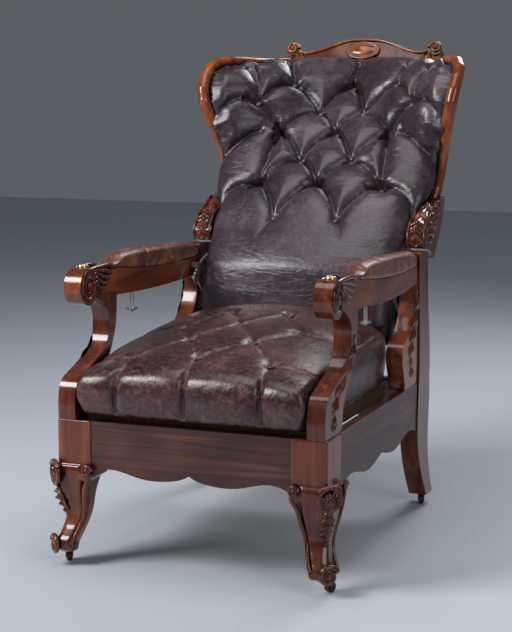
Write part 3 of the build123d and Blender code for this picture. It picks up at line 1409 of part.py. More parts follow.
# The arms, now cut for the trigger's posts, the groove, its cover and the rod's nose
with BuildPart() as grooved_arm:
    add(arm.part)
    groove_box(
        groove_inner, groove_inner + GROOVE_WIDTH, GROOVE_START, GROOVE_END,
        GROOVE_FLOOR, SCROLL_HEIGHT + SCROLL_RADIUS, Mode.SUBTRACT,
    )
    groove_box(
        TRIGGER_X - COVER_WIDTH / 2, TRIGGER_X + COVER_WIDTH / 2,
        GROOVE_START - COVER_LAP, GROOVE_END + COVER_LAP, cover_bottom,
        SCROLL_HEIGHT + SCROLL_RADIUS, Mode.SUBTRACT,
    )
    for post in posts:
        upright_rod(
            TRIGGER_X, post, TRIGGER_BOTTOM, POST_RADIUS + RUNNING_GAP,
            BRIDGE_TOP - TRIGGER_BOTTOM, Mode.SUBTRACT,
        )
    groove_box(
        BACK_STILE_OUTER, TRIGGER_X, NOSE_START - ROD_TRAVEL - SOFT_GAP,
        NOSE_START + NOSE_LENGTH + SOFT_GAP, NOSE_BOTTOM - SOFT_GAP,
        NOSE_BOTTOM + NOSE_HEIGHT + SOFT_GAP, Mode.SUBTRACT,
    )
save_pair(grooved_arm, "arm")
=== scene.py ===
# %% [markdown]
# # A reclining armchair, dressed for rendering
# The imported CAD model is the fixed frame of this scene, and most rigid pieces come from it
# unchanged. Blender adds what CAD is poor at, which is leather that swells between its buttons,
# carved leaves and volutes, and finishes with grain, gloss and wear. All lengths are in metres.

import json
import math

import bmesh
import bpy
import numpy as np
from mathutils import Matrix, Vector, kdtree


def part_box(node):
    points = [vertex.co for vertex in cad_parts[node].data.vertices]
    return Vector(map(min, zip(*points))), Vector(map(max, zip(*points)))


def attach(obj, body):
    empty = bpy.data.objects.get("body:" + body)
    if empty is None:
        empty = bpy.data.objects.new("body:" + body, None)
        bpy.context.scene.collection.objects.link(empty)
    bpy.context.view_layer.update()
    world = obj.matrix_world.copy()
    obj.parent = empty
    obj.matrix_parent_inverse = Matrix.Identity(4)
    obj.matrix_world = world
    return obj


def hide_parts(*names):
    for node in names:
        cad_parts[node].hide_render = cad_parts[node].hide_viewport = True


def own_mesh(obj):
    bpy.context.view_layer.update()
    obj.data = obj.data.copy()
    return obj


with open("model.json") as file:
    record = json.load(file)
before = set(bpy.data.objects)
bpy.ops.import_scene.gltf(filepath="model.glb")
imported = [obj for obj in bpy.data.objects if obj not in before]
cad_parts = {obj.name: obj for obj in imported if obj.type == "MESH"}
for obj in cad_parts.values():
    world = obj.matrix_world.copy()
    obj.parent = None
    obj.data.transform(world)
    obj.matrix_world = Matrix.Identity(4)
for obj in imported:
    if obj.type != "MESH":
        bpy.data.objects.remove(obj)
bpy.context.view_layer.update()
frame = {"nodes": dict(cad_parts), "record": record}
nodes = frame["nodes"]
MM = 0.001
SIDES = {"left": -1, "right": 1}

# %% [markdown]
# ## Camera and light
# The camera stands where the photographer's did, in front and to the chair's left as the sitter
# sees it, at about a standing person's waist. A long lens keeps the perspective gentle. Large
# soft lamps suit varnish and leather, because each glossy edge then draws one clean highlight.

# %% The camera
CAMERA_SPOT = (1.3555, -3.6739, 1.0802)
CAMERA_TILT = 81.47
CAMERA_TURN = 21.44
LENS_MM = 90.92

camera_data = bpy.data.cameras.new("camera")
camera_data.lens = LENS_MM
camera = bpy.data.objects.new("camera", camera_data)
camera.location = CAMERA_SPOT
camera.rotation_euler = (math.radians(CAMERA_TILT), 0, math.radians(CAMERA_TURN))
bpy.context.scene.collection.objects.link(camera)
bpy.context.scene.camera = camera
bpy.context.scene.view_settings.view_transform = "Standard"
print("camera at", CAMERA_SPOT)


# %% The lamps and the room's own light
CHAIR_MIDDLE = Vector((0, 0, 0.6))


def lamp(name, place, size, watts):
    """A square soft lamp that faces the middle of the chair."""
    data = bpy.data.lights.new(name, "AREA")
    data.size, data.energy = size, watts
    thing = bpy.data.objects.new(name, data)
    thing.location = place
    facing = CHAIR_MIDDLE - Vector(place)
    thing.rotation_euler = facing.to_track_quat("-Z", "Y").to_euler()
    bpy.context.scene.collection.objects.link(thing)


lamp("key_lamp", (-1.9, -2.2, 2.5), 1.3, 98)
lamp("fill_lamp", (2.6, -1.8, 1.7), 1.4, 20)
lamp("rim_lamp", (0.6, 2.4, 2.6), 1.4, 40)
lamp("top_lamp", (0.0, -0.4, 3.0), 1.6, 20)
ROOM_COLOUR, ROOM_STRENGTH = (0.62, 0.66, 0.72, 1), 0.17
world = bpy.data.worlds.new("room")
bpy.context.scene.world = world
world.use_nodes = True
background = world.node_tree.nodes["Background"]
background.inputs["Color"].default_value = ROOM_COLOUR
background.inputs["Strength"].default_value = ROOM_STRENGTH

# %% [markdown]
# ## Shader maths as Python
# A material is a graph of nodes, and a long graph is hard to read as code. Here a Wire stands
# for one output socket, and its operators add the Math nodes, so that a mask reads like the sum
# that it is. Colours are mixed by a Mix node, because a Math node would turn them grey.


# %% Wires and finishes
class Wire:
    """One output of a node, with arithmetic."""

    def __init__(self, finish, socket):
        self.finish, self.socket = finish, socket

    def maths(self, operation, first, second):
        values = {0: first, 1: second}
        return self.finish.add("ShaderNodeMath", {"operation": operation}, values)

    def __add__(self, other):
        return self.maths("ADD", self, other)

    def __sub__(self, other):
        return self.maths("SUBTRACT", self, other)

    def __mul__(self, other):
        return self.maths("MULTIPLY", self, other)

    def __rsub__(self, other):
        return self.maths("SUBTRACT", other, self)

    __radd__, __rmul__ = __add__, __mul__

    def clamped(self):
        return self.finish.add("ShaderNodeClamp", {}, {"Value": self})


# The Mix node has sockets of each data type, and these are the ones for colours.
MIX_SHARE, MIX_FIRST, MIX_SECOND, MIX_RESULT = 0, 6, 7, 2
CREVICE_SAMPLES = 6


class Finish:
    """A material whose nodes are added by one method."""

    def __init__(self, name):
        self.material = bpy.data.materials.new(name)
        self.material.use_nodes = True
        self.tree = self.material.node_tree
        self.shader = self.tree.nodes["Principled BSDF"]

    def feed(self, socket, value):
        if isinstance(value, Wire):
            self.tree.links.new(value.socket, socket)
        else:
            socket.default_value = value

    def add(self, kind, settings, values, output=0):
        node = self.tree.nodes.new(kind)
        for key, setting in settings.items():
            if key == "stops":
                self.set_stops(node.color_ramp, setting)
            else:
                setattr(node, key, setting)
        for key, value in values.items():
            self.feed(node.inputs[key], value)
        return Wire(self, node.outputs[output])

    def set_stops(self, ramp, stops):
        while len(ramp.elements) < len(stops):
            ramp.elements.new(0.5)
        for element, (place, colour) in zip(ramp.elements, stops):
            element.position, element.color = place, (*colour, 1)

    def place(self, scale):
        spot = self.add("ShaderNodeTexCoord", {}, {}, "Object")
        return self.add("ShaderNodeMapping", {}, {"Vector": spot, "Scale": scale})

    def height(self):
        spot = self.add("ShaderNodeTexCoord", {}, {}, "Object")
        return self.add("ShaderNodeSeparateXYZ", {}, {"Vector": spot}, "Z")

    def noise(self, scale, detail=4.0, stretch=(1, 1, 1), distortion=0.0):
        values = {
            "Vector": self.place(stretch), "Scale": scale,
            "Detail": detail, "Distortion": distortion,
        }
        return self.add("ShaderNodeTexNoise", {}, values)

    def cells(self, scale, feature="F1"):
        values = {"Vector": self.place((1, 1, 1)), "Scale": scale}
        return self.add("ShaderNodeTexVoronoi", {"feature": feature}, values)

    def ramp(self, value, places, tones):
        stops = list(zip(places, tones))
        return self.add("ShaderNodeValToRGB", {"stops": stops}, {"Fac": value})

    def mix(self, share, first, second):
        rgba = [v if isinstance(v, Wire) else (*v, 1) for v in (first, second)]
        values = {MIX_SHARE: share, MIX_FIRST: rgba[0], MIX_SECOND: rgba[1]}
        return self.add("ShaderNodeMix", {"data_type": "RGBA"}, values, MIX_RESULT)

    def attribute(self, name):
        return self.add("ShaderNodeAttribute", {"attribute_name": name}, {}, "Fac")

    def crevice(self, reach):
        settings = {"samples": CREVICE_SAMPLES}
        return self.add("ShaderNodeAmbientOcclusion", settings, {"Distance": reach}, "AO")

    def bump(self, height, distance, strength):
        values = {"Height": height, "Distance": distance, "Strength": strength}
        return self.add("ShaderNodeBump", {}, values)

    def surface(self, **values):
        for key, value in values.items():
            self.feed(self.shader.inputs[key.replace("_", " ")], value)
        return self.material


print("wires and finishes ready")

# %% [markdown]
# ## Varnished wood
# Mahogany looks alive because its fibres catch the light in bands. Noise that is stretched along
# the fibre gives the bands, and a finer one gives the pores. Each spot is darkened by how closed
# in it is, as painted shade in the hollows, and a clear coat over it all gives the gloss. The
# front legs are veneered above their blocks' foot, in a warmer tone.


# %% The wood finish
WOOD_PLACES = (0.3, 0.5, 0.72)
JOINT_SHARPNESS = 900
SHADE_REACH, SHADE_STRENGTH = 0.02, 2.2
GRAIN_DEPTH = 0.0006


def varnished(name, tones, stretch, shade_colour, gloss=0.15, coat=0.55, upper=None):
    """Grained wood under a clear coat; upper gives a level and the tones above it."""
    finish = Finish(name)
    bands = finish.noise(1.0, 6.0, stretch, 0.8)
    pores = finish.noise(5.0, 3.0, stretch)
    patches = finish.noise(7.0, 2.0)
    share = (bands * 0.75 + patches * 0.45 - 0.1).clamped()
    wood = finish.ramp(share, WOOD_PLACES, tones)
    if upper:
        level, upper_tones = upper
        veneer = finish.ramp(share, WOOD_PLACES, upper_tones)
        above = ((finish.height() - level) * JOINT_SHARPNESS).clamped()
        wood = finish.mix(above, wood, veneer)
    # Painted shade: the more closed in a spot is, the more its colour is mixed towards the shade
    # colour.
    closed = (1.0 - finish.crevice(SHADE_REACH)).clamped()
    wood = finish.mix((closed * SHADE_STRENGTH).clamped(), wood, shade_colour)
    return finish.surface(
        Base_Color=wood,
        Roughness=(gloss + pores * 0.16).clamped(),
        Normal=finish.bump(pores + bands * 0.4, GRAIN_DEPTH, 0.35),
        Coat_Weight=coat,
        Coat_Roughness=0.06,
        Specular_IOR_Level=0.3,
    )


MAHOGANY = ((0.035, 0.006, 0.003), (0.105, 0.020, 0.008), (0.25, 0.060, 0.017))
RUSSET = ((0.05, 0.009, 0.004), (0.15, 0.031, 0.008), (0.32, 0.082, 0.019))
AMBER = ((0.09, 0.016, 0.005), (0.25, 0.054, 0.011), (0.5, 0.14, 0.026))
ROSEWOOD = ((0.012, 0.004, 0.003), (0.055, 0.014, 0.008), (0.17, 0.045, 0.018))
UPRIGHT, LENGTHWISE = (34, 34, 3), (34, 3, 34)
VENEER_ACROSS, VENEER_LENGTHWISE = (2.5, 40, 48), (40, 2.5, 48)
# The painted shade colour that closed-in spots of the darker woods are mixed towards.
WOOD_SHADE = (0.022, 0.005, 0.003)
mahogany = varnished("mahogany_upright", MAHOGANY, UPRIGHT, WOOD_SHADE)
mahogany_long = varnished("mahogany_lengthwise", RUSSET, LENGTHWISE, WOOD_SHADE)
amber = varnished("amber_mahogany", AMBER, UPRIGHT, WOOD_SHADE)
BLOCK_FOOT = 0.2335
leg_wood = varnished("leg_mahogany", MAHOGANY, UPRIGHT, WOOD_SHADE, upper=(BLOCK_FOOT, RUSSET))
rosewood = varnished("rosewood_across", ROSEWOOD, VENEER_ACROSS, WOOD_SHADE, gloss=0.24)
rosewood_side = varnished(
    "rosewood_lengthwise", ROSEWOOD, VENEER_LENGTHWISE, WOOD_SHADE, gloss=0.3, coat=0.25,
)
BEECH = ((0.07, 0.035, 0.018), (0.12, 0.065, 0.032), (0.18, 0.105, 0.055))
# The painted shade colour that closed-in spots of the beech are mixed towards.
BEECH_SHADE = (0.1, 0.05, 0.03)
beech = varnished("bare_beech", BEECH, LENGTHWISE, BEECH_SHADE, gloss=0.55, coat=0.0)
print("woods", mahogany.name, rosewood.name, beech.name)

# %% [markdown]
# ## Old leather
# Leather has three scales: a pebble grain under a millimetre, creases of a few millimetres, and
# slow patches of dye. Where it is rubbed or folded the dye cracks off and the ochre hide shows.
# The meshes below store how near each point is to a fold and to a rubbed edge, and the finish
# reads both, so that the wear follows the shape. Near a fold the back and the seat are also
# darkened as painted shade.


# %% The leather finish
DYE_PLACES = (0.3, 0.52, 0.75)
# The painted shade colour for the creases near a fold.
CREASE_SHADE = (0.004, 0.002, 0.002)
LEATHER_DEPTH = 0.002
PEBBLE_SCALE, CRACK_SCALE, HAIR_SCALE = 620.0, 62.0, 230.0


def leather(name, tones, bare, crackle, gloss, folds, shade, wrinkle):
    """Dyed leather: bare is the hide under cracks, and wrinkle stretches the fine folds."""
    finish = Finish(name)
    patches = finish.noise(9.0, 5.0)
    creases = finish.noise(42.0, 8.0, distortion=1.2)
    pebbles = finish.cells(PEBBLE_SCALE)
    cracks = finish.cells(CRACK_SCALE, "DISTANCE_TO_EDGE")
    fine_cracks = finish.cells(HAIR_SCALE, "DISTANCE_TO_EDGE")
    near_fold = finish.attribute("fold")
    rubbed = finish.attribute("wear")
    dye = finish.ramp(patches * 0.7 + creases * 0.4 - 0.05, DYE_PLACES, tones)
    lines = (1.0 - cracks * 9.0).clamped() * (creases * 3.2 - 1.3).clamped()
    hairs = (1.0 - fine_cracks * 8.0).clamped() * (patches * 4.0 - 1.9).clamped()
    torn = (creases * 4.0 - 1.7).clamped()
    cracked = (lines + hairs * 0.6) * crackle
    worn = (cracked + near_fold * torn * folds + rubbed * torn).clamped()
    wrinkles = finish.noise(1.0, 4.0, wrinkle, 1.6)
    height = creases * 0.8 + wrinkles * 1.6 + pebbles * 0.12 - lines * crackle * 0.5
    # Painted shade: near a fold the dye is darkened towards the crease shade colour, as much as
    # shade sets.
    shaded = finish.mix((near_fold * shade).clamped(), dye, CREASE_SHADE)
    return finish.surface(
        Base_Color=finish.mix(worn, shaded, bare),
        Roughness=(gloss + creases * 0.2 + worn * 0.35).clamped(),
        Normal=finish.bump(height, LEATHER_DEPTH, 0.6),
        Coat_Weight=0.35,
        Coat_Roughness=0.33,
    )


back_leather = leather(
    "back_leather", ((0.013, 0.008, 0.011), (0.042, 0.024, 0.036), (0.11, 0.072, 0.095)),
    bare=(0.20, 0.10, 0.08), crackle=0.14, gloss=0.2, folds=0.0, shade=0.9,
    wrinkle=(14, 14, 46),
)
seat_leather = leather(
    "seat_leather", ((0.013, 0.005, 0.007), (0.045, 0.013, 0.016), (0.11, 0.042, 0.046)),
    bare=(0.30, 0.15, 0.11), crackle=0.42, gloss=0.18, folds=0.6, shade=0.6,
    wrinkle=(26, 26, 26),
)
pad_leather = leather(
    "pad_leather", ((0.05, 0.010, 0.006), (0.15, 0.034, 0.018), (0.27, 0.08, 0.042)),
    bare=(0.5, 0.27, 0.12), crackle=0.5, gloss=0.22, folds=0.8, shade=0.0,
    wrinkle=(60, 20, 60),
)
print("leathers", back_leather.name, seat_leather.name, pad_leather.name)


# %% [markdown]
# ## Metal, webbing and floor
# The small metal pieces need only stains and fine scratches. The webbing is a plain
# weave: two wave patterns at right angles. The floor is pale and matt, and stays off the list of
# pieces because it isn't part of the chair.


# %% The other finishes
SCRATCH_DEPTH, THREAD_DEPTH, THREAD_SCALE = 0.0002, 0.0004, 260.0


def metal(name, clean, dull, roughness):
    finish = Finish(name)
    stains = finish.noise(60.0, 5.0)
    scratches = finish.noise(8.0, 2.0, (4, 60, 60))
    colour = finish.mix((stains * 2.4 - 0.9).clamped(), clean, dull)
    return finish.surface(
        Base_Color=colour,
        Metallic=1.0,
        Roughness=(roughness + stains * 0.25).clamped(),
        Normal=finish.bump(scratches, SCRATCH_DEPTH, 0.3),
    )


def woven(name, light, dark):
    finish = Finish(name)
    values = {"Vector": finish.place((1, 1, 1)), "Scale": THREAD_SCALE}
    warp = finish.add("ShaderNodeTexWave", {"bands_direction": "X"}, values)
    weft = finish.add("ShaderNodeTexWave", {"bands_direction": "Y"}, values)
    threads = warp * 0.5 + weft * 0.5
    return finish.surface(
        Base_Color=finish.mix(threads, dark, light),
        Roughness=0.9,
        Normal=finish.bump(threads, THREAD_DEPTH, 0.8),
    )


brass = metal("rubbed_brass", (0.78, 0.62, 0.32), (0.5, 0.33, 0.13), 0.16)
steel = metal("pale_steel", (0.72, 0.72, 0.70), (0.35, 0.33, 0.3), 0.25)
iron = metal("dark_iron", (0.1, 0.09, 0.085), (0.04, 0.03, 0.028), 0.4)
webbing = woven("jute_webbing", (0.46, 0.36, 0.22), (0.2, 0.14, 0.08))
roller_wood = varnished("dark_rollers", ROSEWOOD, UPRIGHT, WOOD_SHADE, gloss=0.4, coat=0.1)

SLOT_FINISHES = {
    "carved_wood": mahogany, "rail_wood": rosewood, "plain_wood": beech,
    "back_leather": back_leather, "seat_leather": seat_leather, "pad_leather": pad_leather,
    "button_leather": seat_leather, "webbing": webbing, "ring_brass": brass,
    "steel": steel, "caster_iron": iron, "wheel_wood": roller_wood,
}
slot_of = {row["node"]: row["material_slot"] for row in frame["record"]["subparts"]}
OWN_FINISHES = {
    "side_rail_left": rosewood_side, "side_rail_right": rosewood_side,
    "front_apron": rosewood,
    "arm_left": mahogany_long, "arm_right": mahogany_long,
    "arm_bracket_left": mahogany_long, "arm_bracket_right": mahogany_long,
}
for name, node in nodes.items():
    node.data.materials.clear()
    node.data.materials.append(OWN_FINISHES.get(name, SLOT_FINISHES[slot_of[name]]))
print("finished", len(nodes), "CAD nodes")

# %% The floor
FLOOR_HALF = 9.0
floor_mesh = bpy.data.meshes.new("floor")
signs = [(-1, -1), (1, -1), (1, 1), (-1, 1)]
floor_corners = [(x * FLOOR_HALF, y * FLOOR_HALF, 0) for x, y in signs]
floor_mesh.from_pydata(floor_corners, [], [(0, 1, 2, 3)])
floor = bpy.data.objects.new("floor", floor_mesh)
bpy.context.scene.collection.objects.link(floor)
floor_finish = Finish("floor")
clouds = floor_finish.noise(1.2, 3.0)
floor_mesh.materials.append(floor_finish.surface(
    Base_Color=floor_finish.mix(clouds, (0.50, 0.54, 0.60), (0.58, 0.62, 0.68)),
    Roughness=0.6,
))
print("floor", FLOOR_HALF * 2, "m wide")

# %% [markdown]
# ## Shaping soft pieces
# Each soft solid from CAD has the right size and place but no swell. A copy of its mesh is
# rebuilt from small even cubes (voxel remesh), smoothed, and then every point is moved along its
# normal by a small sum: out where the stuffing pushes, in where a fold or a button pulls. A
# cloth simulation could find the swell by itself, but it takes longer, and here every button has
# to stay exactly where the CAD model has it.


# %% Helpers for soft pieces
def link(name, mesh, finish, body):
    """A smooth object with one finish, which rides on a body."""
    thing = bpy.data.objects.new(name, mesh)
    bpy.context.scene.collection.objects.link(thing)
    mesh.materials.clear()
    mesh.materials.append(finish)
    for polygon in mesh.polygons:
        polygon.use_smooth = True
    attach(thing, body)
    return thing


def rebuilt(node, voxel, rounds):
    """A copy of a node's mesh made of even cubes and smoothed."""
    copy = bpy.data.objects.new(node + "_copy", nodes[node].data.copy())
    bpy.context.scene.collection.objects.link(copy)
    remesh = copy.modifiers.new("remesh", "REMESH")
    remesh.mode, remesh.voxel_size = "VOXEL", voxel
    smooth = copy.modifiers.new("smooth", "SMOOTH")
    smooth.factor, smooth.iterations = 0.5, rounds
    graph = bpy.context.evaluated_depsgraph_get()
    mesh = bpy.data.meshes.new_from_object(copy.evaluated_get(graph))
    bpy.data.objects.remove(copy)
    return mesh


def points_of(mesh):
    flat = np.empty(len(mesh.vertices) * 3)
    mesh.vertices.foreach_get("co", flat)
    return flat.reshape(-1, 3)


def normals_of(mesh):
    flat = np.empty(len(mesh.vertices) * 3)
    mesh.vertex_normals.foreach_get("vector", flat)
    return flat.reshape(-1, 3)


def move_points(mesh, points):
    mesh.vertices.foreach_set("co", points.ravel())
    mesh.update()


def store(mesh, name, values):
    layer = mesh.attributes.new(name, "FLOAT", "POINT")
    layer.data.foreach_set("value", values.astype(np.float32))


def tree_of(points):
    tree = kdtree.KDTree(len(points))
    for index, point in enumerate(points):
        tree.insert(point, index)
    tree.balance()
    return tree


def distances(points, targets):
    """How far each point is from the nearest of the targets."""
    tree = tree_of(targets)
    return np.array([tree.find(point)[2] for point in points])


LAID_STEP = 0.003


def laid_on(tree, points, normals, path):
    """A path of corners, moved along the normals until it lies on the surface."""
    spots = []
    for start, end in zip(path, path[1:]):
        start, end = Vector(start), Vector(end)
        count = max(2, int((end - start).length / LAID_STEP))
        for index in range(count + 1):
            spot = np.array(start.lerp(end, index / count))
            near = tree.find(spot)[1]
            rise = np.dot(points[near] - spot, normals[near])
            spots.append(spot + normals[near] * rise)
    return spots


def fade(values, low, high):
    share = np.clip((values - low) / (high - low), 0, 1)
    return share * share * (3 - 2 * share)


def dome(distance, width):
    """1 at the line itself and 0 well away from it."""
    return np.exp(-((distance / width) ** 2))


def billow(distance, width):
    """0 in a sharp fold at the line, rising steeply to 1 away from it."""
    return 1 - np.exp(-distance / width)


def arched(first, second, lift):
    """Corners of a fold that bows between two spots."""
    knee = (first + second) / 2 + lift * (second - first).length
    steps = (0, 0.2, 0.4, 0.6, 0.8, 1)
    return [first * (1 - t) ** 2 + knee * 2 * t * (1 - t) + second * t ** 2 for t in steps]


print("soft helpers ready")

# %% [markdown]
# ## The tufted back
# Seventeen buttons are tied through the stuffing in a diamond pattern. The leather pleats along
# the shortest way from button to button, and swells between the pleats. The buttons' places come
# from the CAD buttons, so the two always agree.


# %% Where the buttons lie
def islands(node):
    """The middle of each loose part of a node."""
    mesh = bmesh.new()
    mesh.from_mesh(nodes[node].data)
    bmesh.ops.remove_doubles(mesh, verts=mesh.verts, dist=1e-6)
    left, middles = set(mesh.verts), []
    for seed in mesh.verts:
        if seed not in left:
            continue
        left.discard(seed)
        edge, group = [seed], []
        while edge:
            vert = edge.pop()
            group.append(vert.co.copy())
            for near in (e.other_vert(vert) for e in vert.link_edges):
                if near in left:
                    left.discard(near)
                    edge.append(near)
        middles.append(sum(group, Vector()) / len(group))
    mesh.free()
    return middles


back_buttons = sorted(islands("back_buttons"), key=lambda spot: -spot.z)
seat_buttons = sorted(islands("seat_buttons"), key=lambda spot: spot.y)
print("buttons", len(back_buttons), "on the back and", len(seat_buttons), "on the seat")

# %% The pleats between them
PLEAT_REACH, PLEAT_SLOPE, PLEAT_SPREAD = 0.175, 0.4, 0.03


def pleats_between(spots, reach, across, up):
    """Pairs of buttons that a slanting pleat joins."""
    pairs = []
    for index, first in enumerate(spots):
        for second in spots[index + 1:]:
            gap = second - first
            steep = abs(gap[up]) > PLEAT_SLOPE * abs(gap[across])
            if gap.length < reach and steep and abs(gap[across]) > PLEAT_SPREAD:
                pairs.append((first, second))
    return pairs


OUTER_X, CREST_Z = 0.14, 1.105
TOP_ROW_Z, WING_TOP_Z, WING_FOOT_Z, LOW_ROW_Z = 1.0, 1.03, 0.97, 0.8
back_pleats = pleats_between(back_buttons, PLEAT_REACH, 0, 2)
for spot in back_buttons:
    if spot.z > TOP_ROW_Z:
        back_pleats.append((spot, Vector((spot.x * 1.08, spot.y + 0.05, CREST_Z))))
for spot in back_buttons:
    if abs(spot.x) > OUTER_X and spot.z < WING_TOP_Z:
        away = math.copysign(0.13, spot.x)
        back_pleats.append((spot, spot + Vector((away, -0.07, -0.045))))
    if abs(spot.x) > OUTER_X and spot.z > WING_FOOT_Z:
        back_pleats.append((spot, spot + Vector((spot.x * 0.15, 0.03, 0.12))))
    if spot.z < LOW_ROW_Z:
        back_pleats.append((spot, spot + Vector((0.25 * spot.x, -0.02, -0.075))))
for sign in (-1, 1):
    outer = [s for s in back_buttons if s.x * sign > OUTER_X and s.z < WING_TOP_Z]
    back_pleats += zip(outer, outer[1:])
print("pleats", len(back_pleats))

# %% The pleats on the surface of the back
BACK_VOXEL, BACK_ROUNDS = 0.0048, 28
BACK_LIFT = Vector((0, 0.12, 0.36))
back_mesh = rebuilt("back_upholstery", BACK_VOXEL, BACK_ROUNDS)
back_points, back_normals = points_of(back_mesh), normals_of(back_mesh)
back_tree = tree_of(back_points)
pleat_lines = [arched(first, second, BACK_LIFT) for first, second in back_pleats]
pleat_spots = []
for line in pleat_lines:
    pleat_spots += laid_on(back_tree, back_points, back_normals, line)
to_pleat = distances(back_points, pleat_spots)
to_button = distances(back_points, back_buttons)
print(len(pleat_lines), "pleat lines on", len(back_points), "points")

# %% Swelling the back
BACK_SWELL, BACK_CREASE, BUTTON_PULL, REAR_CLEARANCE = 0.021, 0.0045, 0.009, 0.006
BILLOW_WIDTH, CREASE_WIDTH, FOLD_WIDTH, PULL_WIDTH = 0.017, 0.005, 0.0045, 0.017
PLAIN_Z, TUFTED_Z = 0.66, 0.78
BULGE, BULGE_Z, BULGE_TALL, BULGE_WIDE = 0.016, 0.625, 0.07, 0.22
TUCK, TUCK_WIDTH, LIP_START, LIP_END = 0.007, 0.010, 0.006, 0.045
facing = fade(-back_normals[:, 1] + 0.25 * back_normals[:, 2], -0.15, 0.35)
tufted = fade(back_points[:, 2], PLAIN_Z, TUFTED_Z)
to_wing = distances(back_points, points_of(nodes["wing_frame_left"].data))
to_wing = np.minimum(to_wing, distances(back_points, points_of(nodes["wing_frame_right"].data)))
tuck = dome(to_wing, TUCK_WIDTH)
lip = fade(to_wing, LIP_START, LIP_END)
swell = BACK_SWELL * billow(to_pleat, BILLOW_WIDTH) * tufted
bulge = dome(np.abs(back_points[:, 2] - BULGE_Z), BULGE_TALL)
swell += BULGE * bulge * dome(np.abs(back_points[:, 0]), BULGE_WIDE) * (1 - tufted)
pull = BACK_CREASE * dome(to_pleat, CREASE_WIDTH) * lip
pull += BUTTON_PULL * dome(to_button, PULL_WIDTH)
rear = fade(back_normals[:, 1], 0.1, 0.5)
move = (swell * lip - pull * tufted - TUCK * tuck) * facing - REAR_CLEARANCE * rear
move_points(back_mesh, back_points + back_normals * move[:, None])
# The fold share darkens the back's leather near each pleat as painted shade.
store(back_mesh, "fold", dome(to_pleat, FOLD_WIDTH) * facing * tufted)
store(back_mesh, "wear", dome(to_button, 0.012) * 0.3)
tufted_back = link("tufted_back", back_mesh, back_leather, "back")
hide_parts("back_upholstery")
print("tufted back", len(back_mesh.vertices), "points")

# %% [markdown]
# ## Buttons
# A covered button is a low dome with a soft rim. One small turned profile serves for all of
# them, and the buttons of each piece are turned to face one given outward direction.


# %% Domed buttons
def turned(profile, steps):
    """Points and faces of a profile of (radius, height) turned about Z."""
    points, faces = [], []
    for radius, rise in profile:
        for step in range(steps):
            turn = math.tau * step / steps
            points.append((radius * math.cos(turn), radius * math.sin(turn), rise))
    for ring in range(len(profile) - 1):
        for step in range(steps):
            after = (step + 1) % steps
            low, high = ring * steps, (ring + 1) * steps
            faces.append((low + step, low + after, high + after, high + step))
    faces.append([(len(profile) - 1) * steps + step for step in range(steps)])
    return points, faces


BUTTON_PROFILE = [(8, -3), (8.6, 0), (8.2, 1.8), (6.6, 3.6), (4.2, 4.7), (1.6, 5.2)]
BUTTON_STEPS, BUTTON_SINK = 20, -0.003
button_profile = [(r * MM, h * MM) for r, h in BUTTON_PROFILE]
button_points, button_faces = turned(button_profile, BUTTON_STEPS)


def buttons(name, node, spots, outward, finish, body):
    """All the buttons of one piece, as one mesh."""
    turn = Vector(outward).to_track_quat("Z", "Y").to_matrix()
    points, faces = [], []
    for spot in spots:
        start = len(points)
        foot = spot + Vector(outward) * BUTTON_SINK
        points += [foot + turn @ Vector(point) for point in button_points]
        faces += [[start + index for index in face] for face in button_faces]
    mesh = bpy.data.meshes.new(name)
    mesh.from_pydata(points, [], faces)
    thing = link(name, mesh, finish, body)
    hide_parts(node)


BACK_OUT = Vector((0, -0.79, 0.61))
buttons("domed_back_buttons", "back_buttons", back_buttons, BACK_OUT, back_leather, "back")
buttons("domed_seat_buttons", "seat_buttons", seat_buttons, (0, 0, 1), seat_leather, "base")
print("buttons made")

# %% [markdown]
# ## Rims of the brass sockets
# Each arm has a brass socket near its front, which once held a reading desk. Its rounded rim is
# turned in the same way as the buttons, and it stays open in the middle.

# %% Rims of the brass sockets
RIM_PROFILE = [(7.0, -1), (7.0, 2.2), (8.2, 3.6), (10.2, 3.6), (11.7, 2.2), (12.2, -0.5)]
RIM_STEPS = 28
rim_points, rim_faces = turned([(r * MM, h * MM) for r, h in RIM_PROFILE], RIM_STEPS)
for side in SIDES:
    socket_low, socket_high = (Vector(corner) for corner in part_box(f"reading_socket_{side}"))
    middle = (socket_low + socket_high) / 2
    middle.z = socket_high.z
    mesh = bpy.data.meshes.new("rim")
    mesh.from_pydata([middle + Vector(point) for point in rim_points], [], rim_faces[:-1])
    rim = link(f"brass_rim_{side}", mesh, brass, "base")
    print("rim", side, "at", [round(v, 3) for v in middle])

# %% [markdown]
# ## The seat cushion
# The seat is a deep sprung cushion with sewn pleats over its front edge. The dye has worn off
# along the pleats, where the ochre hide shows, and the pleats are darkened as painted shade. The
# pleats run between the tufts on top, then over the front edge and down to the rail.

# %% The pleats of the seat
SEAT_REACH, SEAT_OUTER_X, FRONT_TUFTS = 0.2, 0.12, 3
SEAT_VOXEL, SEAT_ROUNDS = 0.0045, 30
seat_mesh = rebuilt("seat_cushion", SEAT_VOXEL, SEAT_ROUNDS)
seat_points, seat_normals = points_of(seat_mesh), normals_of(seat_mesh)
seat_tree = tree_of(seat_points)
seat_low, seat_high = seat_points.min(0), seat_points.max(0)
seat_pleats = pleats_between(seat_buttons, SEAT_REACH, 0, 1)
front_pleats = []
for spot in seat_buttons[:FRONT_TUFTS]:
    brow = Vector((spot.x * 1.03, seat_low[1] + 0.02, seat_high[2] - 0.06))
    foot = Vector((spot.x * 1.06, seat_low[1], seat_low[2]))
    front_pleats += [(spot, brow), (brow, foot)]
for spot in seat_buttons:
    if abs(spot.x) > SEAT_OUTER_X:
        rim = Vector((math.copysign(seat_high[0] - 0.02, spot.x), spot.y + 0.01, spot.z - 0.03))
        seat_pleats.append((spot, rim))
seat_spots, front_spots = [], []
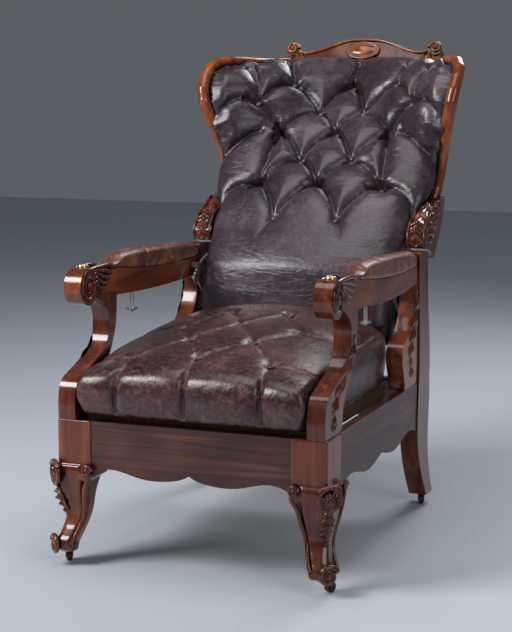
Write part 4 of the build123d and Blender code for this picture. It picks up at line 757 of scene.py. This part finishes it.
for pairs, spots in ((seat_pleats, seat_spots), (front_pleats, front_spots)):
    for pair in pairs:
        spots += laid_on(seat_tree, seat_points, seat_normals, pair)
print(len(seat_pleats), "pleats on top and", len(front_pleats), "over the front")

# %% Swelling the seat
SEAT_SWELL, SEAT_CREASE, FRONT_CREASE, TUFT_PULL = 0.008, 0.003, 0.009, 0.006
to_front = distances(seat_points, front_spots)
to_seam = np.minimum(distances(seat_points, seat_spots), to_front)
to_tuft = distances(seat_points, seat_buttons)
upper = fade(seat_normals[:, 2], -0.2, 0.5)
frontal = fade(-seat_normals[:, 1], 0.3, 0.8)
shown = np.clip(upper + frontal, 0, 1)
rising = fade(seat_points[:, 2], seat_low[2] + 0.004, seat_low[2] + 0.05)
fullness = 0.7 * billow(to_seam, 0.022) + 0.5 * frontal * billow(to_front, 0.02)
swell = SEAT_SWELL * fullness * rising
pull = SEAT_CREASE * dome(to_seam, 0.004) + FRONT_CREASE * dome(to_front, 0.005) * frontal
pull += TUFT_PULL * dome(to_tuft, 0.018) * upper
move = (swell - pull) * shown
move_points(seat_mesh, seat_points + seat_normals * move[:, None])
edge_wear = dome(np.abs(seat_points[:, 2] - seat_low[2]), 0.006)
# The fold share wears the seat's dye off near each pleat and also darkens it as painted shade.
store(seat_mesh, "fold", dome(to_seam, 0.0035) * shown)
store(seat_mesh, "wear", np.clip(edge_wear + 0.08 * frontal, 0, 1))
tufted_seat = link("tufted_seat", seat_mesh, seat_leather, "base")
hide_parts("seat_cushion")
print("tufted seat", len(seat_mesh.vertices), "points")

# %% [markdown]
# ## Arm pads and the outside back
# The pads are small leather cushions on the arms, lower at the front, worn through along their
# edges, and with one seam across. The outside back is a stretched cover, so it only gets a finer
# mesh and a slight wave. The webbing is a copy of the CAD straps.

# %% The arm pads
PAD_SEAM_SHARE, PAD_SEAM_DEPTH, PAD_SWELL, PAD_WAVE = 0.36, 0.0015, 0.002, 0.0003
PAD_VOXEL, PAD_ROUNDS, PAD_BINS = 0.003, 8, 60
PAD_FULL_AT = (0, 0.06, 0.075, 0.105, 0.14, 0.4, 0.7, 0.93, 1)
PAD_FULLNESS = (0.8, 0.66, 0.76, 1.06, 1.1, 1.02, 1, 1.06, 1)
for side in SIDES:
    node = f"arm_pad_{side}"
    mesh = rebuilt(node, PAD_VOXEL, PAD_ROUNDS)
    points, normals = points_of(mesh), normals_of(mesh)
    low, high = points.min(0), points.max(0)
    share = (points[:, 1] - low[1]) / (high[1] - low[1])
    bins = np.clip((share * PAD_BINS).astype(int), 0, PAD_BINS - 1)
    foot = np.array([points[bins == b, 2].min() for b in range(PAD_BINS)])[bins]
    fullness = np.interp(share, PAD_FULL_AT, PAD_FULLNESS)
    points[:, 2] = foot + (points[:, 2] - foot) * fullness
    seam = low[1] + PAD_SEAM_SHARE * (high[1] - low[1])
    to_line = np.abs(points[:, 1] - seam - 0.02 * np.sin(points[:, 0] * 60))
    top = fade(normals[:, 2], 0, 0.5)
    waves = PAD_WAVE * np.sin(points[:, 1] * 70) * np.sin(points[:, 0] * 90 + 1)
    move = top * (PAD_SWELL + waves - PAD_SEAM_DEPTH * dome(to_line, 0.004))
    move_points(mesh, points + normals * move[:, None])
    rim = dome(points[:, 2] - low[2], 0.012)
    store(mesh, "fold", dome(to_line, 0.003) * top)
    store(mesh, "wear", np.clip(rim * 0.8 + 0.06, 0, 1))
    pad = link(f"worn_pad_{side}", mesh, pad_leather, "base")
    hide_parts(node)
    print("pad", side, len(mesh.vertices), "points")

# %% The outside back and the webbing
COVER_CUTS, COVER_SLACK = 6, 0.0006
sheet_mesh = bmesh.new()
sheet_mesh.from_mesh(nodes["outside_back"].data)
bmesh.ops.subdivide_edges(sheet_mesh, edges=sheet_mesh.edges, cuts=COVER_CUTS, use_grid_fill=True)
for vert in sheet_mesh.verts:
    vert.co.y += COVER_SLACK * math.sin(vert.co.x * 31) * math.sin(vert.co.z * 23)
cover_mesh = bpy.data.meshes.new("stretched_cover")
sheet_mesh.to_mesh(cover_mesh)
sheet_mesh.free()
cover = link("stretched_cover", cover_mesh, back_leather, "back")
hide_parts("outside_back")
strap = link("woven_webbing", nodes["seat_webbing"].data.copy(), webbing, "base")
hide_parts("seat_webbing")
print("cover", len(cover_mesh.vertices), "points")

# %% [markdown]
# ## Mouldings round the wings
# The wings are edged with a rounded moulding that catches one long highlight. The CAD moulding
# has flat sides, so it is rebuilt with even cubes and smoothed until it is round, and then moved
# out a little to win back its size.

# %% Rounded mouldings
MOULDING_FULLNESS, MOULDING_VOXEL, MOULDING_ROUNDS = 0.0035, 0.0035, 6
for side in SIDES:
    node = f"wing_frame_{side}"
    mesh = rebuilt(node, MOULDING_VOXEL, MOULDING_ROUNDS)
    move_points(mesh, points_of(mesh) + normals_of(mesh) * MOULDING_FULLNESS)
    rail = link(f"round_wing_{side}", mesh, amber, "back")
    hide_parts(node)
    print("moulding", side, len(mesh.vertices), "points")

# %% [markdown]
# ## Rounded front legs
# The cabriole legs have soft corners from long use. The same rebuilding rounds them, and the
# carving that follows is laid on the rounded shape.

# %% Rounded front legs
LEG_VOXEL, LEG_ROUNDS = 0.0025, 4
for side in SIDES:
    node = f"front_leg_{side}"
    mesh = rebuilt(node, LEG_VOXEL, LEG_ROUNDS)
    leg = link(f"round_front_leg_{side}", mesh, leg_wood, "base")
    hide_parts(node)
    print("leg", side, len(mesh.vertices), "points")

# %% [markdown]
# ## Carving
# Carved ornament is low relief that grows out of the wood under it: ribs that wind into a
# volute, leaves with a midrib and fluted lobes, and small round bosses. Each is a simple sum of
# waves over a strip, so a leaf is only a path, a width, a rise and a number of lobes. Every
# relief is sunk a little into the wood, as if it were cut from the same block.


# %% The carver's tools
def smooth_path(corners, steps):
    """A smooth line through corners."""
    corners = [Vector(corner) for corner in corners]
    ends = [corners[0] * 2 - corners[1]] + corners + [corners[-1] * 2 - corners[-2]]
    line = []
    for a, b, c, d in zip(ends, ends[1:], ends[2:], ends[3:]):
        for step in range(steps):
            t = step / steps
            bend = (a * 2 - b * 5 + c * 4 - d) * t ** 2 + (b * 3 - a - c * 3 + d) * t ** 3
            line.append(b + ((c - a) * t + bend) / 2)
    return line + [corners[-1]]


LEAF_HALF, VOLUTE_STEPS, BOSS_RINGS, BOSS_STEPS = 7, 26, 5, 14
LEAF_SINK, BOSS_SINK = 0.0015, 0.001


class Carving:
    """Leaves, ribs and bosses that become one mesh."""

    def __init__(self):
        self.points, self.faces = [], []

    def strip(self, rows, closed=False):
        start, width = len(self.points), len(rows[0])
        self.points += [point for row in rows for point in row]
        last = width if closed else width - 1
        for row in range(len(rows) - 1):
            for column in range(last):
                after = (column + 1) % width
                low, high = start + row * width, start + (row + 1) * width
                self.faces.append((low + column, low + after, high + after, high + column))

    def leaf(self, corners, normal, width, rise, lobes, steps):
        """A leaf along a path: fluted lobes on each side of a midrib."""
        line, normal = smooth_path(corners, steps), Vector(normal).normalized()
        rows = []
        for index, spot in enumerate(line):
            before, after = line[max(index - 1, 0)], line[min(index + 1, len(line) - 1)]
            side = normal.cross(after - before).normalized()
            u = index / (len(line) - 1)
            open_share = math.sin(math.pi * min(u * 0.93 + 0.07, 1)) ** 0.6
            wave = math.sin(math.pi * lobes * u)
            reach = width * open_share * (0.72 + 0.28 * abs(wave))
            row = []
            for column in range(-LEAF_HALF, LEAF_HALF + 1):
                v = column / LEAF_HALF
                flute = 0.62 + 0.38 * math.cos(math.tau * lobes * u - 2.4 * abs(v))
                crown = (1 - v * v) ** 0.5 * flute
                rib = 0.35 * math.exp(-((v / 0.16) ** 2))
                height = rise * open_share * (crown + rib)
                row.append(spot + side * reach * v + normal * (height - LEAF_SINK))
            rows.append(row)
        self.strip(rows)

    def rib(self, line, radii, sides=8):
        """A round rib along a line, whose radius runs from the first value to the last."""
        rows, side = [], None
        for index, spot in enumerate(line):
            before, after = line[max(index - 1, 0)], line[min(index + 1, len(line) - 1)]
            heading = (after - before).normalized()
            if side is None:
                side = heading.orthogonal()
            side = (side - heading * side.dot(heading)).normalized()
            up = heading.cross(side)
            share = index / (len(line) - 1)
            radius = radii[0] + (radii[1] - radii[0]) * share
            turns = [math.tau * step / sides for step in range(sides)]
            rows.append([spot + (side * math.cos(t) + up * math.sin(t)) * radius for t in turns])
        self.strip(rows, closed=True)

    def volute(self, middle, right, up, radii, turns, start, thick):
        """A rib that winds inwards in the plane of right and up."""
        line, count = [], int(turns * VOLUTE_STEPS)
        for index in range(count + 1):
            share = index / count
            radius = radii[0] + (radii[1] - radii[0]) * share ** 0.8
            turn = start + math.tau * turns * share
            line.append(middle + right * math.cos(turn) * radius + up * math.sin(turn) * radius)
        self.rib(line, thick)

    def boss(self, middle, normal, radius, rise):
        """A low round boss."""
        turn = Vector(normal).to_track_quat("Z", "Y").to_matrix()
        steps = [math.tau * step / BOSS_STEPS for step in range(BOSS_STEPS)]
        rows = []
        for ring in range(BOSS_RINGS + 1):
            slope = math.pi / 2 * ring / BOSS_RINGS
            reach, height = radius * math.cos(slope), rise * math.sin(slope) - BOSS_SINK
            ring_points = [(reach * math.cos(t), reach * math.sin(t), height) for t in steps]
            rows.append([middle + turn @ Vector(point) for point in ring_points])
        self.strip(rows, closed=True)

    def made(self, name, finish, body, slot="carved_wood"):
        mesh = bpy.data.meshes.new(name)
        mesh.from_pydata(self.points, [], self.faces)
        thing = link(name, mesh, finish, body)
        print(name, len(self.points), "points")
        return thing


def level_reach(points, height, band=0.0035):
    """The lowest and highest corner of the points near a level."""
    near = points[np.abs(points[:, 2] - height) < band]
    return near.min(0), near.max(0)


print("carver's tools ready")

# %% [markdown]
# ## Springs of the triggers
# A coil spring is a helix: the angle and the height grow together.

# %% Coil springs
COIL_TURNS, COIL_STEPS, COIL_SIDES, COIL_WIRE, PRESSED_SHARE = 5, 18, 6, 0.0006, 0.58
for side in SIDES:
    node = f"trigger_spring_{side}"
    low, high = (Vector(corner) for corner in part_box(node))
    middle, reach = (low + high) / 2, (high.x - low.x) / 2 - COIL_WIRE
    rise, count = high.z - low.z - 2 * COIL_WIRE, COIL_TURNS * COIL_STEPS
    line = []
    for step in range(count + 1):
        turn = math.tau * step / COIL_STEPS
        x, y = middle.x + reach * math.cos(turn), middle.y + reach * math.sin(turn)
        line.append(Vector((x, y, low.z + COIL_WIRE + rise * step / count)))
    coil = Carving()
    coil.rib(line, (COIL_WIRE, COIL_WIRE), COIL_SIDES)
    spring = coil.made(f"coil_spring_{side}", steel, "base", "steel")
    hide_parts(node)
    top = (middle.x, middle.y, high.z)
    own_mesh(spring)

# %% [markdown]
# ## Carving on the arms
# Each arm ends in a scroll. Both faces of the scroll carry a volute, and a fan of five ribs flows
# back from it. The outer sides of the support and of the rear bracket carry a long leaf with a
# small volute at its foot.

# %% Volutes and leaves of the arms
SCROLL_RADIUS = 0.042
# Each rib of the fan: the angle where it leaves the volute, then how far back and up it ends.
FLUTES = (
    (112, 0.112, 0.033), (84, 0.104, 0.021), (58, 0.091, 0.009), (34, 0.076, -0.002),
    (12, 0.06, -0.012),
)
FLUTE_ROOT, FLUTE_SWING, FLUTE_BOSS = 0.016, 0.036, (0.0068, 0.0066)
Y_AXIS, Z_AXIS = Vector((0, 1, 0)), Vector((0, 0, 1))
arm_low, arm_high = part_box("arm_right")
support_low, support_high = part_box("arm_support_right")
scroll_y, scroll_z = arm_low[1] + SCROLL_RADIUS, arm_high[2] - SCROLL_RADIUS
ARM_VOXEL = 0.004
support_points = points_of(rebuilt("arm_support_right", ARM_VOXEL, 0))
bracket_points = points_of(rebuilt("arm_bracket_right", ARM_VOXEL, 0))
BRACKET_LEVELS = (0.36, 0.41, 0.46, 0.52, 0.57)
SUPPORT_LEVELS = (0.345, 0.37, 0.41, 0.45, 0.49, 0.53)


def sideways(turn):
    """A direction in the plane of an arm's side."""
    return Y_AXIS * math.cos(turn) + Z_AXIS * math.sin(turn)


for side, sign in SIDES.items():
    arm = Carving()
    for x, out in ((support_high[0], 1), (support_low[0], -1)):
        middle = Vector((sign * x, scroll_y, scroll_z))
        normal = Vector((sign * out, 0, 0))
        arm.volute(middle, Y_AXIS, Z_AXIS, (0.0375, 0.007), 2.1, math.pi / 2, (0.0042, 0.0024))
        arm.boss(middle, normal, 0.0075, 0.006)
        for turn, reach, drop in FLUTES:
            turn = math.radians(turn)
            root = middle + sideways(turn) * FLUTE_ROOT
            swing = middle + sideways(turn * 0.8) * FLUTE_SWING
            bend = middle + Y_AXIS * reach * 0.72 + Z_AXIS * (drop + 0.006)
            tip = middle + Y_AXIS * reach + Z_AXIS * drop
            arm.rib(smooth_path([root, swing, bend, tip], 7), (0.0034, 0.0068))
            arm.boss(tip, normal, *FLUTE_BOSS)
    outer = sign * support_high[0]
    for points, levels, width in (
        (support_points, SUPPORT_LEVELS, 0.019), (bracket_points, BRACKET_LEVELS, 0.02),
    ):
        spine = []
        for level in levels:
            low, high = level_reach(points, level, 0.005)
            spine.append((outer, (low[1] + high[1]) / 2, level))
        arm.leaf(spine[::-1], (sign, 0, 0), width, 0.008, 6, 10)
        foot = Vector(spine[0]) + Vector((0, 0, 0.008))
        arm.volute(foot, Y_AXIS, Z_AXIS, (0.014, 0.004), 1.6, 0, (0.003, 0.002))
    arm.made(f"arm_carving_{side}", mahogany, "base")

# %% [markdown]
# ## Carving on the front legs
# The knee faces outwards on the corner. It carries a cartouche of C-scrolls round a small
# rosette, with a leaf that hangs below. A beaded rib runs down each side of the leg from a small
# volute under the block to the scrolled toe.

# %% Cartouches, ribs and toes of the front legs
LEG_LEVELS = (0.222, 0.205, 0.185, 0.165, 0.145, 0.125, 0.105, 0.085, 0.065, 0.052)
CORNER_CUT, TOE_LEVEL, PETALS = 0.007, 0.047, 7
leg_points = points_of(rebuilt("front_leg_right", LEG_VOXEL, LEG_ROUNDS))
for side, sign in SIDES.items():
    leg = Carving()
    out = Vector((sign, -1, 0)).normalized()
    along = Vector((sign, 1, 0)).normalized()
    corner, inner, outer = [], [], []
    for level in LEG_LEVELS:
        low, high = level_reach(leg_points, level)
        corner.append(Vector((sign * (high[0] - CORNER_CUT), low[1] + CORNER_CUT, level)))
        inner.append(Vector((sign * (low[0] + 0.0035), low[1] + 0.003, level)))
        outer.append(Vector((sign * (high[0] - 0.002), high[1] - 0.006, level)))
    for edge in (inner, outer):
        leg.rib(smooth_path(edge, 5), (0.0062, 0.0046))
        for spot in smooth_path(edge, 3)[2:-1]:
            leg.boss(spot + out * 0.001, out, 0.0036, 0.0045)
    for edge, right in ((inner, Vector((1, 0, 0))), (outer, Vector((0, 1, 0)))):
        facing = Vector((0, -1, 0)) if edge is inner else Vector((sign, 0, 0))
        top = edge[0] + facing * 0.004
        leg.volute(top, right, Z_AXIS, (0.013, 0.003), 1.7, 0, (0.0038, 0.0024))
        leg.boss(top, facing, 0.005, 0.006)
    rosette = corner[1] + out * 0.004
    for way in (along, -along):
        frame_spot = rosette + Z_AXIS * 0.004
        leg.volute(frame_spot, way, Z_AXIS, (0.031, 0.019), 0.95, 0.6, (0.0056, 0.0035))
    leg.boss(rosette + out * 0.002, out, 0.009, 0.008)
    for petal in range(PETALS):
        turn = math.tau * petal / PETALS
        way = along * math.cos(turn) + Z_AXIS * math.sin(turn)
        petal_path = [rosette + way * reach for reach in (0.004, 0.014, 0.024)]
        leg.leaf(petal_path, out, 0.0085, 0.009, 1, 4)
    hanging = [spot + out * 0.001 for spot in corner[2:7]]
    leg.leaf(hanging, out, 0.019, 0.012, 5, 7)
    toe = corner[-1] + Vector((0, 0, -0.004))
    leg.volute(toe + out * 0.003, along, Z_AXIS, (0.022, 0.005), 1.9, 0.4, (0.0065, 0.0038))
    leg.boss(toe + out * 0.004, out, 0.009, 0.009)
    low, high = level_reach(leg_points, TOE_LEVEL)
    for x, facing in ((high[0], Vector((sign, 0, 0))), (low[0], Vector((-sign, 0, 0)))):
        middle = Vector((sign * x, low[1] + 0.014, TOE_LEVEL))
        leg.volute(middle, Y_AXIS, Z_AXIS, (0.0135, 0.003), 1.7, 0, (0.0035, 0.002))
    leg.made(f"leg_carving_{side}", mahogany, "base")

# %% [markdown]
# ## Carving on the crest and the consoles
# The crest is a leaning board. Ribs follow its upper and lower edges, an oval cartouche sits in
# the middle of a plain face, and volutes with hanging leaves close its ends. The consoles that
# carry the wings have leaves on the front and on the outer side. The leaves start a little above
# the foot, so that they clear the rear legs when the back comes forward.

# %% The crest
CREST_LEAN = math.radians(28)
CREST_UP = Vector((0, math.sin(CREST_LEAN), math.cos(CREST_LEAN)))
CREST_OUT = Vector((0, -math.cos(CREST_LEAN), math.sin(CREST_LEAN)))
CREST_FOOT = Vector((0, 0.5696, 1.118))
CREST_TOP = ((0, 75), (49, 71.5), (86, 59), (119, 45), (160, 35), (186, 41))
RING_REACH, OVAL_REACH, OVAL_UP = (45, 24), (40, 19), 36


def on_crest(x, up, out):
    """A spot on the crest's face, in millimetres from the middle of its foot."""
    return CREST_FOOT + Vector((x, 0, 0)) * MM + CREST_UP * up * MM + CREST_OUT * out * MM


def round_crest(reach, turn, out):
    """A spot on an oval round the middle of the crest's face."""
    return on_crest(reach[0] * math.cos(turn), OVAL_UP + reach[1] * math.sin(turn), out)


crest = Carving()
half_top = [(x, up - 5) for x, up in CREST_TOP]
whole_top = [(-x, up) for x, up in half_top[:0:-1]] + half_top
crest.rib(smooth_path([on_crest(x, up, 1) for x, up in whole_top], 5), (0.0045, 0.0045))
crest.rib(smooth_path([on_crest(x, 6, 1) for x in (-190, -95, 0, 95, 190)], 4), (0.0035, 0.0035))
TURNS = np.linspace(0, math.tau, 41)
crest.rib([round_crest(RING_REACH, t, 3) for t in TURNS], (0.004, 0.004))
oval = []
for slope in np.linspace(0, math.pi / 2, 7):
    reach = [side * math.cos(slope) for side in OVAL_REACH]
    rise = 2 + 8 * math.sin(slope)
    oval.append([round_crest(reach, t, rise) for t in TURNS[:-1]])
crest.strip(oval, closed=True)
for sign in (-1, 1):
    for reach, width in ((0, 0.011), (14, 0.008)):
        corners = ((207 - reach, 44), (196 - reach, 30), (186 - reach, 12), (180 - reach, -6))
        path = [on_crest(sign * x, up, 2) for x, up in corners]
        crest.leaf(path, CREST_OUT, width, 0.009, 2, 8)
    end = on_crest(sign * 205, 42, 7)
    crest.volute(end, Vector((-sign, 0, 0)), CREST_UP, (0.0175, 0.003), 1.8, 0, (0.0055, 0.003))
    crest.boss(end, CREST_OUT, 0.006, 0.008)
crest.made("crest_carving", amber, "back")

# %% The consoles
CONSOLE_VOXEL = 0.0035
console_points = points_of(rebuilt("console_right", CONSOLE_VOXEL, 0))
console_low, console_high = console_points.min(0), console_points.max(0)
CONSOLE_STEPS, CONSOLE_START, CONSOLE_SPAN, CONSOLE_EDGE = 6, 0.215, 0.705, 0.021
for side, sign in SIDES.items():
    console = Carving()
    front, flank = [], []
    for step in range(CONSOLE_STEPS):
        share = CONSOLE_START + CONSOLE_SPAN * step / (CONSOLE_STEPS - 1)
        level = console_low[2] + share * (console_high[2] - console_low[2])
        low, high = level_reach(console_points, level, 0.004)
        middle_x = sign * (low[0] + high[0]) / 2
        front.append(Vector((middle_x, low[1] + 0.001, level)))
        flank.append(Vector((sign * high[0], (low[1] * 0.62 + high[1] * 0.38), level)))
    console.leaf(front[::-1], (0, -0.85, 0.5), 0.021, 0.012, 5, 8)
    console.leaf(flank[::-1], (sign, 0, 0), 0.026, 0.009, 6, 8)
    for edge in (-CONSOLE_EDGE, CONSOLE_EDGE):
        shifted = [spot + Vector((edge, 0, 0)) for spot in front]
        console.rib(smooth_path(shifted, 5), (0.0035, 0.0035))
    bud = front[0] + Vector((0, 0, 0.012))
    console.volute(bud, Vector((1, 0, 0)), Z_AXIS, (0.016, 0.004), 1.5, 0, (0.005, 0.003))
    console.made(f"console_carving_{side}", mahogany, "back")
